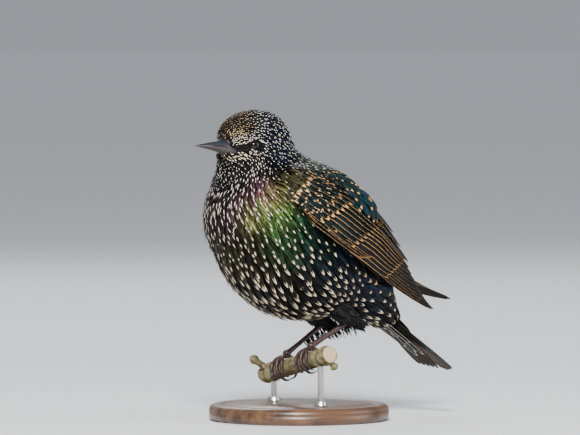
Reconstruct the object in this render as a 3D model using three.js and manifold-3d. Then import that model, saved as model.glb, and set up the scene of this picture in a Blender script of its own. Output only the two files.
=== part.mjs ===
// A life-size European starling in fluffed winter plumage, gripping a short cut branch on a display stand.
// Millimetres, +Z up. The bird faces -X, so its left side is -Y. The origin is the centre of the base's underside.
import * as THREE from "three";
import { mergeVertices } from "three/addons/utils/BufferGeometryUtils.js";
import Module from "manifold-3d";

const wasm = await Module();
wasm.setup();

// Driving dimensions
const GAP = 0.3; // between nodes that touch
const ARM_CLEARANCE = 1.1; // of the wing's arm over the body
const CUT_LEVEL = 0.8; // how far a cutter made from the body stands outside it
const BASE_RADIUS = 50;
const BASE_THICK = 9;
const PERCH_TOP = 36; // height of the branch's top at the bird's middle, over the base's underside
const PERCH_RADIUS = 5;
const PERCH_TILT = THREE.MathUtils.degToRad(12); // the branch sinks towards the bird's right
const PERCH_NEAR = 33; // its length on the bird's left of the middle
const PERCH_FAR = 37;
const ROD_RADIUS = 1.7;
const ROD_PLACES = [-23, 27]; // along the branch
const HEAD_TURN = THREE.MathUtils.degToRad(8); // the head looks a little to its left
const NECK_PIVOT_X = -20;
const BODY_BLEND = 4.5; // how softly the egg shapes of the body run together
const EYE_RADIUS = 3.6;
const TARSUS_RADIUS = 1.25;
const TOE_RADIUS = 1.15;

// The fluffed body is a soft union of egg shapes. Each has its centre in the median plane,
// its half sizes along, across and up, its pitch in degrees, and whether it turns with the head.
const EGGS = {
  skull: { at: [-28.5, 121.5], size: [21.5, 7.9, 14.4], pitch: 0, turns: true },
  brow: { at: [-42, 119.5], size: [9.5, 3.5, 8], pitch: 0, turns: true },
  cheek: { at: [-30, 109.5], size: [18.5, 8.2, 11], pitch: 0, turns: true },
  ruff: { at: [-24.5, 98], size: [22.5, 18.5, 17], pitch: 0, turns: false },
  breast: { at: [-18, 77], size: [38, 34, 32], pitch: 0, turns: false },
  belly: { at: [-5, 54], size: [41, 37, 33], pitch: -20, turns: false },
  mantle: { at: [12, 78], size: [31, 30, 25], pitch: -38, turns: false },
  rump: { at: [33, 45], size: [29, 22, 20], pitch: -40, turns: false },
  vent: { at: [45, 27], size: [24, 11, 8], pitch: -30, turns: false },
};

// Stations from the bill to the tail: centre x and z, lean of the section in degrees,
// and the cone angle of its rays (90 is a flat section, less opens towards the bill).
const STATIONS = [
  [-41, 117, 0, 26],
  [-40.5, 118, 14, 60],
  [-40.5, 119, 28, 90],
  [-32.8, 114, 45, 90],
  [-28.5, 104, 60, 90],
  [-24.5, 94, 68, 90],
  [-15, 82.5, 70, 90],
  [-4, 65, 71, 90],
  [9, 47.5, 67, 90],
  [24.5, 35.5, 61, 90],
  [39, 29, 55, 90],
  [52, 24.5, 43, 90],
  [60, 19, 38, 90],
];
const HEAD_END = 3;
const NECK_END = 5;
const TORSO_END = 11;
const HEAD_FULL_TURN = 2; // stations up to here turn fully with the head
const HEAD_NO_TURN = 5;

// The wings' edges from the bend to the tip: the left wing droops a little, the right is held higher.
const WINGS = {
  left: {
    side: -1,
    low: [[-25, 33, 89], [-8, 39.5, 71], [20, 37, 52], [54, 21, 33], [87, 7, 22]],
    top: [[-19, 27, 101], [12, 24, 96.5], [38, 17, 79], [62, 9, 58], [90, 6, 26.5]],
  },
  right: {
    side: 1,
    low: [[-25, 33, 89], [-8, 39.5, 71], [20, 37, 53], [56, 20, 38], [102, 3, 27.5]],
    top: [[-19, 27, 101], [12, 24, 96.5], [38, 17, 79], [64, 9, 60], [104, 2, 31.5]],
  },
};
const WING_BULGE = 6.5; // how far the wing's middle stands outside a line between its edges

// Tail
const TAIL_ROOT = new THREE.Vector3(47, 0, 31);
const TAIL_PITCH = THREE.MathUtils.degToRad(41);
const TAIL_LENGTH = 64;
const TAIL_TURN = THREE.MathUtils.degToRad(-4); // towards the left side
const TAIL_FAN = THREE.MathUtils.degToRad(18);
const TAIL_FEATHERS = 12;

const PAINT = {
  plumage: { color: 0x1c1f1d, roughness: 0.45, metalness: 0.2 },
  spotted: { color: 0x2a2825, roughness: 0.6, metalness: 0 },
  flight: { color: 0x241f1b, roughness: 0.5, metalness: 0.1 },
  bill: { color: 0x2c2d33, roughness: 0.35, metalness: 0 },
  eye: { color: 0x0a0807, roughness: 0.05, metalness: 0 },
  leg: { color: 0x4a2730, roughness: 0.5, metalness: 0 },
  claw: { color: 0x1d1718, roughness: 0.3, metalness: 0 },
  bark: { color: 0x6e6038, roughness: 0.9, metalness: 0 },
  wood: { color: 0x5a3c26, roughness: 0.5, metalness: 0 },
  steel: { color: 0x8b8a86, roughness: 0.3, metalness: 1 },
};

// General helpers

// Uniform Catmull-Rom through rows of numbers; t runs from 0 to rows.length - 1.
function spline(rows, t) {
  const last = rows.length - 1;
  const at = (i) => {
    if (i < 0) return rows[0].map((v, k) => 2 * v - rows[1][k]);
    if (i > last) return rows[last].map((v, k) => 2 * v - rows[last - 1][k]);
    return rows[i];
  };
  const i = Math.min(Math.max(Math.floor(t), 0), last - 1);
  const f = t - i;
  const [a, b, c, d] = [at(i - 1), at(i), at(i + 1), at(i + 2)];
  return b.map((v, k) => 0.5 * (2 * v + (c[k] - a[k]) * f
    + (2 * a[k] - 5 * v + 4 * c[k] - d[k]) * f ** 2
    + (3 * v - a[k] - 3 * c[k] + d[k]) * f ** 3));
}

function smoothstep(from, to, value) {
  const t = Math.min(Math.max((value - from) / (to - from), 0), 1);
  return t * t * (3 - 2 * t);
}

const lerp = THREE.MathUtils.lerp;

function geometryOf(points, faces) {
  const geometry = new THREE.BufferGeometry();
  geometry.setAttribute("position", new THREE.Float32BufferAttribute(points.flatMap((p) => [p.x, p.y, p.z]), 3));
  geometry.setIndex(faces.flat());
  return geometry;
}

// A three.js geometry as a solid to cut and join.
function solidOf(geometry) {
  const bare = geometry.clone();
  bare.deleteAttribute("normal");
  bare.deleteAttribute("uv");
  const merged = mergeVertices(bare, 1e-4);
  const triVerts = new Uint32Array(merged.index.array);
  const vertProperties = new Float32Array(merged.attributes.position.array);
  const solid = new wasm.Manifold(new wasm.Mesh({ numProp: 3, vertProperties, triVerts }));
  if (solid.volume() >= 0) return solid;
  for (let i = 0; i < triVerts.length; i += 3) {
    [triVerts[i + 1], triVerts[i + 2]] = [triVerts[i + 2], triVerts[i + 1]];
  }
  return new wasm.Manifold(new wasm.Mesh({ numProp: 3, vertProperties, triVerts }));
}

function geometryOfSolid(solid) {
  const mesh = solid.getMesh();
  const geometry = new THREE.BufferGeometry();
  geometry.setAttribute("position", new THREE.BufferAttribute(new Float32Array(mesh.vertProperties), 3));
  geometry.setIndex(new THREE.BufferAttribute(new Uint32Array(mesh.triVerts), 1));
  return geometry;
}

// The largest closed piece, with loose scraps dropped.
function largest(solid) {
  return solid.decompose().reduce((a, b) => (a.volume() > b.volume() ? a : b));
}

const union = (solids) => solids.reduce((a, b) => a.add(b));

// Rings of points joined into a tube that is closed by a fan at both ends.
function tubeOfRings(rings) {
  const count = rings[0].length;
  const points = rings.flat();
  const faces = [];
  for (let i = 0; i < rings.length - 1; i++) {
    for (let j = 0; j < count; j++) {
      const k = (j + 1) % count;
      const [a, b, c, d] = [i * count + j, i * count + k, (i + 1) * count + k, (i + 1) * count + j];
      faces.push([a, b, c], [a, c, d]);
    }
  }
  const centre = (ring) => ring.reduce((s, p) => s.add(p), new THREE.Vector3()).divideScalar(ring.length);
  const first = points.push(centre(rings[0])) - 1;
  const final = points.push(centre(rings.at(-1))) - 1;
  const end = (rings.length - 1) * count;
  for (let j = 0; j < count; j++) {
    const k = (j + 1) % count;
    faces.push([first, k, j], [final, end + j, end + k]);
  }
  return geometryOf(points, faces);
}

// Two like grids, an upper and a lower face, split into triangles alike and joined round the rim.
function plate(upper, lower) {
  const [rows, columns] = [upper.length, upper[0].length];
  const points = [...upper.flat(), ...lower.flat()];
  const at = (side, i, j) => side * rows * columns + i * columns + j;
  const faces = [];
  for (let i = 0; i < rows - 1; i++) {
    for (let j = 0; j < columns - 1; j++) {
      for (const side of [0, 1]) {
        const [a, b, c, d] = [at(side, i, j), at(side, i + 1, j), at(side, i + 1, j + 1), at(side, i, j + 1)];
        if (side) faces.push([a, c, b], [a, d, c]);
        else faces.push([a, b, c], [a, c, d]);
      }
    }
  }
  const rim = [];
  for (let i = 0; i < rows - 1; i++) rim.push([i, 0]);
  for (let j = 0; j < columns - 1; j++) rim.push([rows - 1, j]);
  for (let i = rows - 1; i > 0; i--) rim.push([i, columns - 1]);
  for (let j = columns - 1; j > 0; j--) rim.push([0, j]);
  rim.forEach(([i, j], n) => {
    const [k, l] = rim[(n + 1) % rim.length];
    faces.push([at(0, k, l), at(0, i, j), at(1, i, j)], [at(0, k, l), at(1, i, j), at(1, k, l)]);
  });
  return geometryOf(points, faces);
}

// A round, tapering tube along points, with a radius at each.
function limb(path, radii, sides = 10, flatten = 1) {
  const up = new THREE.Vector3(0, 0, 1);
  const rings = path.map((p, i) => {
    const before = path[Math.max(i - 1, 0)];
    const after = path[Math.min(i + 1, path.length - 1)];
    const along = after.clone().sub(before).normalize();
    const across = new THREE.Vector3().crossVectors(along, up);
    if (across.length() < 0.05) across.set(0, 1, 0);
    across.normalize();
    const over = new THREE.Vector3().crossVectors(across, along);
    return Array.from({ length: sides }, (_, j) => {
      const angle = (2 * Math.PI * j) / sides;
      return p.clone().addScaledVector(across, radii[i] * Math.cos(angle))
        .addScaledVector(over, radii[i] * flatten * Math.sin(angle));
    });
  });
  return solidOf(tubeOfRings(rings));
}

// The body's surface

function turnAbout(x, y, angle) {
  const dx = x - NECK_PIVOT_X;
  return [NECK_PIVOT_X + dx * Math.cos(angle) - y * Math.sin(angle), dx * Math.sin(angle) + y * Math.cos(angle)];
}

// Near zero on the body's surface, negative inside: a soft minimum of distances to the egg shapes.
const EGG_LIST = Object.values(EGGS).map((egg) => ({
  ...egg,
  cos: Math.cos(THREE.MathUtils.degToRad(egg.pitch)),
  sin: Math.sin(THREE.MathUtils.degToRad(egg.pitch)),
}));

function bodyField(p) {
  let total = 0;
  for (const egg of EGG_LIST) {
    const [x, y] = egg.turns ? turnAbout(p.x, p.y, -HEAD_TURN) : [p.x, p.y];
    const [dx, dz] = [x - egg.at[0], p.z - egg.at[1]];
    const local = [dx * egg.cos + dz * egg.sin, y, -dx * egg.sin + dz * egg.cos];
    const near = Math.hypot(...local.map((v, k) => v / egg.size[k]));
    const slope = Math.hypot(...local.map((v, k) => v / egg.size[k] ** 2)) + 1e-9;
    total += Math.exp(-(near * (near - 1)) / slope / BODY_BLEND);
  }
  return -BODY_BLEND * Math.log(total);
}

// Centre, axis towards the bill, up and side vectors of the section at station u.
function section(u) {
  const [x, z, lean, cone] = spline(STATIONS, u);
  const turn = HEAD_TURN * (1 - smoothstep(HEAD_FULL_TURN, HEAD_NO_TURN, u));
  const [cx, cy] = turnAbout(x, 0, turn);
  const tilt = THREE.MathUtils.degToRad(lean);
  const zAxis = new THREE.Vector3(0, 0, 1);
  return {
    centre: new THREE.Vector3(cx, cy, z),
    axis: new THREE.Vector3(-Math.cos(tilt), 0, Math.sin(tilt)).applyAxisAngle(zAxis, turn),
    up: new THREE.Vector3(Math.sin(tilt), 0, Math.cos(tilt)).applyAxisAngle(zAxis, turn),
    side: new THREE.Vector3(0, 1, 0).applyAxisAngle(zAxis, turn),
    cone: THREE.MathUtils.degToRad(cone),
  };
}

// The body's surface at station u and angle phi (0 over the back, pi under the belly), found by halving.
function bodyPoint(u, phi, level = 0) {
  const { centre, axis, up, side, cone } = section(u);
  const ray = up.clone().multiplyScalar(Math.cos(phi) * Math.sin(cone))
    .addScaledVector(side, Math.sin(phi) * Math.sin(cone))
    .addScaledVector(axis, Math.cos(cone));
  let [inner, outer] = [0, 80];
  for (let i = 0; i < 26; i++) {
    const middle = (inner + outer) / 2;
    if (bodyField(centre.clone().addScaledVector(ray, middle)) < level) inner = middle;
    else outer = middle;
  }
  return centre.addScaledVector(ray, inner);
}

// A length of the body between two stations, its flat ends drawn back by half a gap.
function bodyLength(from, to, rows, around, { level = 0, drawFrom = 0, drawTo = 0 } = {}) {
  const rings = [];
  for (let i = 0; i <= rows; i++) {
    const u = lerp(from, to, i / rows);
    const shift = i === 0 ? -drawFrom : i === rows ? drawTo : 0;
    const { axis } = section(u);
    rings.push(Array.from({ length: around }, (_, j) => (
      bodyPoint(u, (2 * Math.PI * j) / around, level).addScaledVector(axis, shift))));
  }
  return solidOf(tubeOfRings(rings));
}

// Head, bill and eyes are drawn unturned and then turned about the neck.
function headTurned(solid) {
  const degrees = THREE.MathUtils.radToDeg(HEAD_TURN);
  return solid.translate([-NECK_PIVOT_X, 0, 0]).rotate([0, 0, degrees]).translate([NECK_PIVOT_X, 0, 0]);
}

// Bill

const BILL = {
  base: -44, // where the bill starts inside the face feathers
  length: 29,
  // share of the length: culmen height, mouth line, underside and half width
  shape: [
    [0, 121.8, 116.2, 112.4, 4.6],
    [0.25, 121.6, 116.9, 112.8, 4.2],
    [0.5, 120.7, 117.3, 114.2, 3.2],
    [0.75, 119.4, 117.4, 115.5, 2.1],
    [0.93, 118.2, 117.3, 116.4, 1.1],
    [1, 117.6, 117.15, 116.8, 0.45],
  ],
};
const BILL_ROWS = 8;
const BILL_HALF_SIDES = 6;

// One mandible: an arch between the mouth line and the ridge, or the keel for the lower one.
function mandible(upper, grow = 0) {
  const rings = [];
  for (let i = 0; i <= BILL_ROWS; i++) {
    const [share, culmen, mouth, keel, half] = spline(BILL.shape, (i / BILL_ROWS) * (BILL.shape.length - 1));
    const short = upper ? 1 : 0.965;
    const x = BILL.base - BILL.length * share * short - (i === BILL_ROWS ? grow : 0) + (i === 0 ? grow : 0);
    const flat = upper ? mouth + GAP / 2 - grow : mouth - GAP / 2 + grow;
    const crest = upper ? culmen + grow : keel - grow;
    const ring = [];
    for (let j = 0; j <= BILL_HALF_SIDES; j++) {
      const angle = (Math.PI * j) / BILL_HALF_SIDES;
      const lift = Math.sin(angle) ** 0.85;
      ring.push(new THREE.Vector3(x, (half + grow) * Math.cos(angle), lerp(flat, crest, lift)));
    }
    rings.push(ring);
  }
  return solidOf(tubeOfRings(rings));
}

function egg(at, size, across = 14, up = 10) {
  const geometry = new THREE.SphereGeometry(1, across, up);
  geometry.scale(...size);
  geometry.translate(...at);
  return solidOf(geometry);
}

const NOSTRIL = { x: -50.5, y: 3.4, z: 119.6, size: [1.7, 1.1, 0.55] };

function upperBill() {
  let bill = mandible(true);
  for (const side of [-1, 1]) {
    bill = bill.subtract(egg([NOSTRIL.x, side * NOSTRIL.y, NOSTRIL.z], NOSTRIL.size, 10, 6));
  }
  return largest(headTurned(bill));
}

const lowerBill = () => headTurned(mandible(false));

// Eyes and head

const EYE = { x: -38.2, y: 9.3, z: 117 };
const LID = { radius: 3.1, thick: 0.6, stand: 2.3, yaw: 20 };

const eyeBall = (side, grow = 0) => headTurned(
  egg([EYE.x, side * EYE.y, EYE.z], Array(3).fill(EYE_RADIUS + grow), 16, 10));

// The ring of bare lids round an eye, its face turned a little forwards.
function lids(side) {
  const geometry = new THREE.TorusGeometry(LID.radius, LID.thick, 5, 14);
  geometry.scale(1.06, 0.94, 1);
  geometry.rotateX(Math.PI / 2);
  const yaw = THREE.MathUtils.degToRad(LID.yaw);
  geometry.rotateZ(side * yaw);
  geometry.translate(EYE.x - LID.stand * Math.sin(yaw), side * (EYE.y + LID.stand * Math.cos(yaw)), EYE.z);
  return headTurned(solidOf(geometry));
}

function head() {
  let solid = bodyLength(0, HEAD_END, 12, 28, { drawTo: GAP / 2 });
  const pocket = headTurned(mandible(true, GAP).add(mandible(false, GAP)).add(
    egg([BILL.base - 3, 0, 117], [3, 3.6, 3.4], 10, 6)));
  for (const side of [-1, 1]) solid = solid.add(lids(side));
  for (const side of [-1, 1]) solid = solid.subtract(eyeBall(side, GAP));
  return largest(solid.subtract(pocket));
}

const neck = () => bodyLength(HEAD_END, NECK_END, 6, 28, { drawFrom: GAP / 2, drawTo: GAP / 2 });
const torso = () => bodyLength(NECK_END, TORSO_END, 17, 28, { drawFrom: GAP / 2, drawTo: GAP / 2 });
const bodyCutter = () => bodyLength(1, TORSO_END + 0.9, 30, 32, { level: CUT_LEVEL });

// Wings

// The wing's sheet: a along it from bend to tip, b across from its lower edge up, h its height outwards.
function wingPoint(wing, a, b, h = 0) {
  const place = (s, t) => {
    const low = spline(wing.low, s * 4);
    const top = spline(wing.top, s * 4);
    const swell = WING_BULGE * Math.sin(Math.PI * Math.min(Math.max(t, 0), 1)) * (1 - smoothstep(0.45, 1, s));
    const [x, y, z] = low.map((v, k) => lerp(v, top[k], t));
    return new THREE.Vector3(x, wing.side * (y + swell * 0.85), z + swell * 0.35);
  };
  const step = 0.01;
  const p = place(a, b);
  const along = place(a + step, b).sub(place(a - step, b));
  const across = place(a, b + step).sub(place(a, b - step));
  const out = new THREE.Vector3().crossVectors(across, along).multiplyScalar(wing.side).normalize();
  if (out.y * wing.side < 0) out.negate();
  return p.addScaledVector(out, h);
}

// How wide the sheet is at a, in mm.
function sheetWidth(wing, a) {
  return wingPoint(wing, a, 0).distanceTo(wingPoint(wing, a, 1));
}

// One feather of the wing from root to tip on the sheet: its lower edge stands out, its upper edge sinks.
function wingVane(wing, { root, tip, half, lift, thick = 0.52, rows = 5, sink = 1.3, blunt = 0.8 }) {
  const upper = [];
  const lower = [];
  for (let i = 0; i <= rows; i++) {
    const s = i / rows;
    const a = lerp(root[0], tip[0], s);
    const b = lerp(root[1], tip[1], s);
    const wide = half * (0.55 + 0.45 * smoothstep(0, 0.3, s)) * Math.sqrt(1 - s ** (2.2 / (1.02 - blunt))) + 0.35;
    const share = wide / sheetWidth(wing, Math.min(a, 0.92));
    const height = lerp(-1, lift, smoothstep(0, 0.5, s));
    const edge = thick * (1 - 0.4 * s);
    upper.push([-1, 1].map((w) => wingPoint(wing, a, b + w * share, height - sink * (w + 1) / 2)));
    lower.push([-1, 1].map((w) => wingPoint(wing, a, b + w * share, height - sink * (w + 1) / 2 - edge)));
  }
  return solidOf(plate(upper, lower));
}

// A point under the sheet, as deep as asked but never nearer the body than the arm's clearance.
function wingFloor(wing, a, b, from, depth) {
  let [clear, deep] = [from, from - depth];
  if (bodyField(wingPoint(wing, a, b, deep)) > ARM_CLEARANCE) return wingPoint(wing, a, b, deep);
  for (let i = 0; i < 20; i++) {
    const middle = (clear + deep) / 2;
    if (bodyField(wingPoint(wing, a, b, middle)) > ARM_CLEARANCE) clear = middle;
    else deep = middle;
  }
  return wingPoint(wing, a, b, clear);
}

// The arm and the packed bases of the quills: a sheet with depth that sits on the body.
function wingArm(wing) {
  const [rows, columns] = [7, 4];
  const upper = [];
  const lower = [];
  for (let i = 0; i <= rows; i++) {
    const a = lerp(-0.03, 0.62, i / rows);
    upper.push([]);
    lower.push([]);
    for (let j = 0; j <= columns; j++) {
      const start = Math.sqrt(1 - (1 - Math.min((a + 0.04) / 0.14, 1)) ** 2);
      const b = lerp(0.5, lerp(-0.02, 1.0, j / columns), start);
      const round = Math.sin(Math.PI * lerp(0.06, 0.94, j / columns)) ** 0.5;
      const taper = 1 - smoothstep(0.42, 0.62, a);
      const rise = lerp(-0.9, 0.9, round * start * taper);
      upper[i].push(wingPoint(wing, a, b, rise));
      lower[i].push(wingFloor(wing, a, b, rise - 0.7, 1.6 + 4.5 * taper * start));
    }
  }
  return solidOf(plate(upper, lower));
}

// Rows of feathers from the longest, lowest tier to the shortest on top.
const PRIMARIES = 6;
const SECONDARIES = 5;
const TERTIALS = 3;
const GREATER_COVERTS = 6;
const PRIMARY_COVERTS = 2;
const MEDIAN_COVERTS = 5;

function wingVanes(wing) {
  const tier = (count, vane) => Array.from({ length: count }, (_, i) => wingVane(wing, vane(i / (count - 1))));
  return [
    // from the longest at the lower edge to the shortest, which lies highest
    ...tier(PRIMARIES, (s) => ({
      root: [0.4, lerp(0.12, 0.3, s)],
      tip: [lerp(1.0, 0.8, s ** 0.8), lerp(0.3, 0.66, s ** 1.2)],
      half: lerp(4.2, 4.6, s), lift: lerp(-2.4, 1.4, s), sink: 0.4, rows: 5, blunt: 0.55,
    })),
    ...tier(SECONDARIES, (s) => ({
      root: [0.36, lerp(0.1, 0.55, s)],
      tip: [lerp(0.66, 0.74, s), lerp(0.12, 0.66, s)],
      half: 4.6, lift: lerp(2.0, 2.4, s), sink: 2.4, rows: 4, blunt: 0.85,
    })),
    ...tier(TERTIALS, (s) => ({
      root: [0.32, lerp(0.66, 0.82, s)],
      tip: [lerp(0.77, 0.66, s), lerp(0.78, 0.94, s)],
      half: 5.2, lift: lerp(1.9, 3.7, s), sink: 0.8, rows: 5, blunt: 0.8,
    })),
    ...tier(PRIMARY_COVERTS, (s) => ({
      root: [0.16, lerp(0.04, 0.1, s)],
      tip: [0.5, lerp(0.03, 0.12, s)],
      half: 2.4, lift: lerp(1.8, 2.2, s), sink: 1.6, rows: 4,
    })),
    ...tier(GREATER_COVERTS, (s) => ({
      root: [0.16, lerp(0.16, 0.74, s)],
      tip: [lerp(0.42, 0.53, s), lerp(0.08, 0.74, s)],
      half: 3.3, lift: lerp(3.0, 3.4, s), sink: 2.5, rows: 3,
    })),
    ...tier(MEDIAN_COVERTS, (s) => ({
      root: [0.08, lerp(0.16, 0.78, s)],
      tip: [lerp(0.22, 0.34, s), lerp(0.1, 0.8, s)],
      half: 3.4, lift: lerp(4.0, 4.4, s), sink: 2.6, rows: 3,
    })),
  ];
}

function wingSolid(wing, body) {
  return largest(union([wingArm(wing), ...wingVanes(wing)]).subtract(body));
}

// Tail

const turnedTail = (x, y, z) => new THREE.Vector3(x, y, z).applyAxisAngle(new THREE.Vector3(0, 0, 1), TAIL_TURN);
const tailAlong = turnedTail(Math.cos(TAIL_PITCH), 0, -Math.sin(TAIL_PITCH));
const tailUp = turnedTail(Math.sin(TAIL_PITCH), 0, Math.cos(TAIL_PITCH));
const tailAcross = turnedTail(0, 1, 0);

const STEM = { along: 12, height: -3.2, size: [10, 6.5, 5] }; // the fleshy base the feathers spring from

// A feather of the tail or its coverts, from root to tip at a fan angle, bent down by droop at its end.
function tailVane({ start, angle, length, half, height, thick = 0.52, rows = 6, tilt = 0, droop = 0, pointed = 0.75 }) {
  const along = tailAlong.clone().multiplyScalar(Math.cos(angle)).addScaledVector(tailAcross, Math.sin(angle));
  const across = tailAcross.clone().multiplyScalar(Math.cos(angle)).addScaledVector(tailAlong, -Math.sin(angle));
  const upper = [];
  const lower = [];
  for (let i = 0; i <= rows; i++) {
    const s = i / rows;
    const wide = half * (0.45 + 0.55 * smoothstep(0, 0.45, s)) * Math.sqrt(1 - s ** (2.2 / (1.02 - pointed))) + 0.4;
    const risen = lerp(lerp(STEM.height, height, 0.4), height, smoothstep(0, 0.35, s));
    const middle = TAIL_ROOT.clone().addScaledVector(along, start + length * s)
      .addScaledVector(tailUp, risen - droop * s * s);
    const place = (w, h) => middle.clone().addScaledVector(across, w * wide)
      .addScaledVector(tailUp, h + w * tilt * wide - 0.02 * (w * wide) ** 2);
    upper.push([-1, 1].map((w) => place(w, 0)));
    lower.push([-1, 1].map((w) => place(w, -thick * (1 - 0.4 * s))));
  }
  return solidOf(plate(upper, lower));
}

const VANE_STEP = 0.85; // height between one tail feather and the next

// The right and left feathers take turns down the stack from the middle pair outwards.
function stackHeight(rank, right) {
  if (rank === 0) return right ? VANE_STEP / 2 : -VANE_STEP / 2;
  return -VANE_STEP * (rank + (right ? 0.5 : 1.4));
}

// Four coverts over or under the feathers' bases; the middle ones lie outermost.
function tailCoverts(over) {
  return [-1.5, -0.5, 0.5, 1.5].map((from) => {
    const depth = VANE_STEP * (2 * (Math.abs(from) - 0.5) + (from > 0 ? 1 : 0));
    return tailVane({
      start: 5, angle: TAIL_FAN * 0.26 * from, length: (over ? 28 : 35) - 2 * Math.abs(from), half: 4,
      height: over ? 3.9 - depth : -9.9 + depth, droop: over ? 1 : -1, rows: 3, pointed: 0.6,
    });
  });
}

function tail() {
  const pieces = [bodyLength(TORSO_END, TORSO_END + 1, 3, 20, { drawFrom: GAP / 2 })];
  const stem = egg([0, 0, 0], STEM.size, 12, 8)
    .rotate([0, THREE.MathUtils.radToDeg(TAIL_PITCH), THREE.MathUtils.radToDeg(TAIL_TURN)]);
  pieces.push(stem.translate(TAIL_ROOT.clone().addScaledVector(tailAlong, STEM.along)
    .addScaledVector(tailUp, STEM.height).toArray()));
  for (let i = 0; i < TAIL_FEATHERS; i++) {
    const from = i - (TAIL_FEATHERS - 1) / 2; // -5.5 to 5.5
    const rank = Math.abs(from) - 0.5;
    pieces.push(tailVane({
      start: 9, angle: (TAIL_FAN * from) / 5.5, length: TAIL_LENGTH - 9 - 0.5 * rank, half: 4.9,
      height: stackHeight(rank, from > 0), rows: 5, pointed: 0.8,
    }));
  }
  pieces.push(...tailCoverts(true), ...tailCoverts(false));
  const joined = union(pieces);
  return largest(joined.subtract(bodyLength(NECK_END + 3, TORSO_END, 10, 28, {
    level: CUT_LEVEL, drawTo: -GAP / 2,
  })));
}

// The branch

const perchAlong = new THREE.Vector3(0, Math.cos(PERCH_TILT), -Math.sin(PERCH_TILT));
const perchUp = new THREE.Vector3(0, Math.sin(PERCH_TILT), Math.cos(PERCH_TILT));
const perchBack = new THREE.Vector3(1, 0, 0);
const perchCentre = new THREE.Vector3(0, 0, -PERCH_RADIUS);

const onPerch = (along, back = 0, up = 0) => perchCentre.clone().addScaledVector(perchAlong, along)
  .addScaledVector(perchBack, back).addScaledVector(perchUp, up);

function branch(grow = 0) {
  const rows = 14;
  const sides = 16;
  const rings = [];
  for (let i = 0; i <= rows; i++) {
    const s = lerp(-PERCH_NEAR, PERCH_FAR, i / rows);
    const grip = 1 - smoothstep(16, 26, Math.abs(s)); // plain and round where the feet hold it
    const knot = 0.08 * Math.cos(s * 0.9) + 0.1 * Math.exp(-(((s - 30) / 4) ** 2)) + 0.07 * Math.exp(-(((s + 28) / 3) ** 2));
    const radius = PERCH_RADIUS * (0.97 + (1 - grip) * knot) + grow;
    rings.push(Array.from({ length: sides }, (_, j) => {
      const angle = (2 * Math.PI * j) / sides;
      const lump = 1 + (1 - grip) * 0.05 * Math.sin(3 * angle + s * 0.3);
      return onPerch(s, radius * lump * Math.cos(angle), radius * lump * Math.sin(angle));
    }));
  }
  return solidOf(tubeOfRings(rings));
}

// A cut side shoot with a swollen bud, near one end of the branch.
const SHOOTS = [
  { along: 29, back: -0.75, up: 0.66, length: 15, radius: 2.0, bud: 2.7 },
  { along: -28, back: 0.5, up: -0.86, length: 9.5, radius: 1.8, bud: 2.4 },
];

function perch() {
  const pieces = [branch()];
  for (const shoot of SHOOTS) {
    const out = perchBack.clone().multiplyScalar(shoot.back).addScaledVector(perchUp, shoot.up)
      .addScaledVector(perchAlong, 0.25 * Math.sign(shoot.along)).normalize();
    const root = onPerch(shoot.along);
    const steps = [0, 0.35, 0.6, 0.72, 0.86, 0.96, 1];
    const radii = [1.25, 1, 0.9, 1.15, shoot.bud / shoot.radius, 0.8, 0.3];
    const path = steps.map((s) => root.clone().addScaledVector(out, s * shoot.length));
    pieces.push(limb(path, radii.map((r) => r * shoot.radius), 8));
  }
  return union(pieces);
}

// Legs and feet

const FOOT_SPREAD = 13; // from the middle, along the branch
const HEEL = { x: 27, y: 14, z: 19 };
const TOES = [
  // splay along the branch, reach round it in degrees, and thickness
  { name: "inner", splay: -5.4, turn: 100, size: 0.92, back: false },
  { name: "middle", splay: 0, turn: 140, size: 1, back: false },
  { name: "outer", splay: 5.4, turn: 102, size: 0.92, back: false },
  { name: "hind", splay: 0.6, turn: 92, size: 1.12, back: true },
];
const CLAW_TURN = 62;
const TOE_TRACK = PERCH_RADIUS + TOE_RADIUS + GAP + 0.15; // radius of a toe's centre line about the branch

const footAt = (side) => side * FOOT_SPREAD;

// A point of a toe's line: it climbs off the sole at the top of the branch and then wraps round.
function toePoint(side, toe, degrees, out = 0) {
  const angle = THREE.MathUtils.degToRad(90 + (toe.back ? -degrees : degrees));
  const spread = side * toe.splay * smoothstep(-10, 75, degrees) + footAt(side);
  const track = TOE_TRACK + out;
  return onPerch(spread, track * Math.cos(angle), track * Math.sin(angle));
}

function toeSolid(side, toe) {
  const steps = 6;
  const path = [];
  const radii = [];
  for (let i = 0; i <= steps; i++) {
    const s = i / steps;
    path.push(toePoint(side, toe, lerp(-6, toe.turn, s), 0.35 * Math.abs(Math.sin(s * Math.PI * 2.5)) * 0.5));
    const joint = 1 + 0.1 * Math.cos(s * Math.PI * 5);
    radii.push(TOE_RADIUS * toe.size * joint * lerp(1.08, 0.86, s));
  }
  return limb(path, radii, 6);
}

function claw(side, toe) {
  const steps = 5;
  const path = [];
  const radii = [];
  const start = toe.turn + 5;
  for (let i = 0; i <= steps; i++) {
    const s = i / steps;
    const reach = start + CLAW_TURN * (toe.back ? 1.12 : 0.92) * s;
    path.push(toePoint(side, toe, reach, 0.55 * Math.sin(Math.PI * s) + (s > 0.9 ? -0.25 : 0)));
    radii.push(TOE_RADIUS * 0.74 * toe.size * (1 - s) ** 0.75 + 0.16);
  }
  return limb(path, radii, 7);
}

function ankle(side) {
  return toePoint(side, { splay: 0, back: true }, 8, 1.6);
}

function foot(side) {
  const pad = ankle(side);
  const sole = egg(pad.toArray(), [2.5, 2.2, 2.1], 10, 7);
  const toes = TOES.map((toe) => toeSolid(side, toe));
  return largest(union([sole, ...toes]).subtract(shank(side, GAP)));
}

const heelAt = (side) => new THREE.Vector3(HEEL.x, side * HEEL.y, HEEL.z - side * 1.4);

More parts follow.
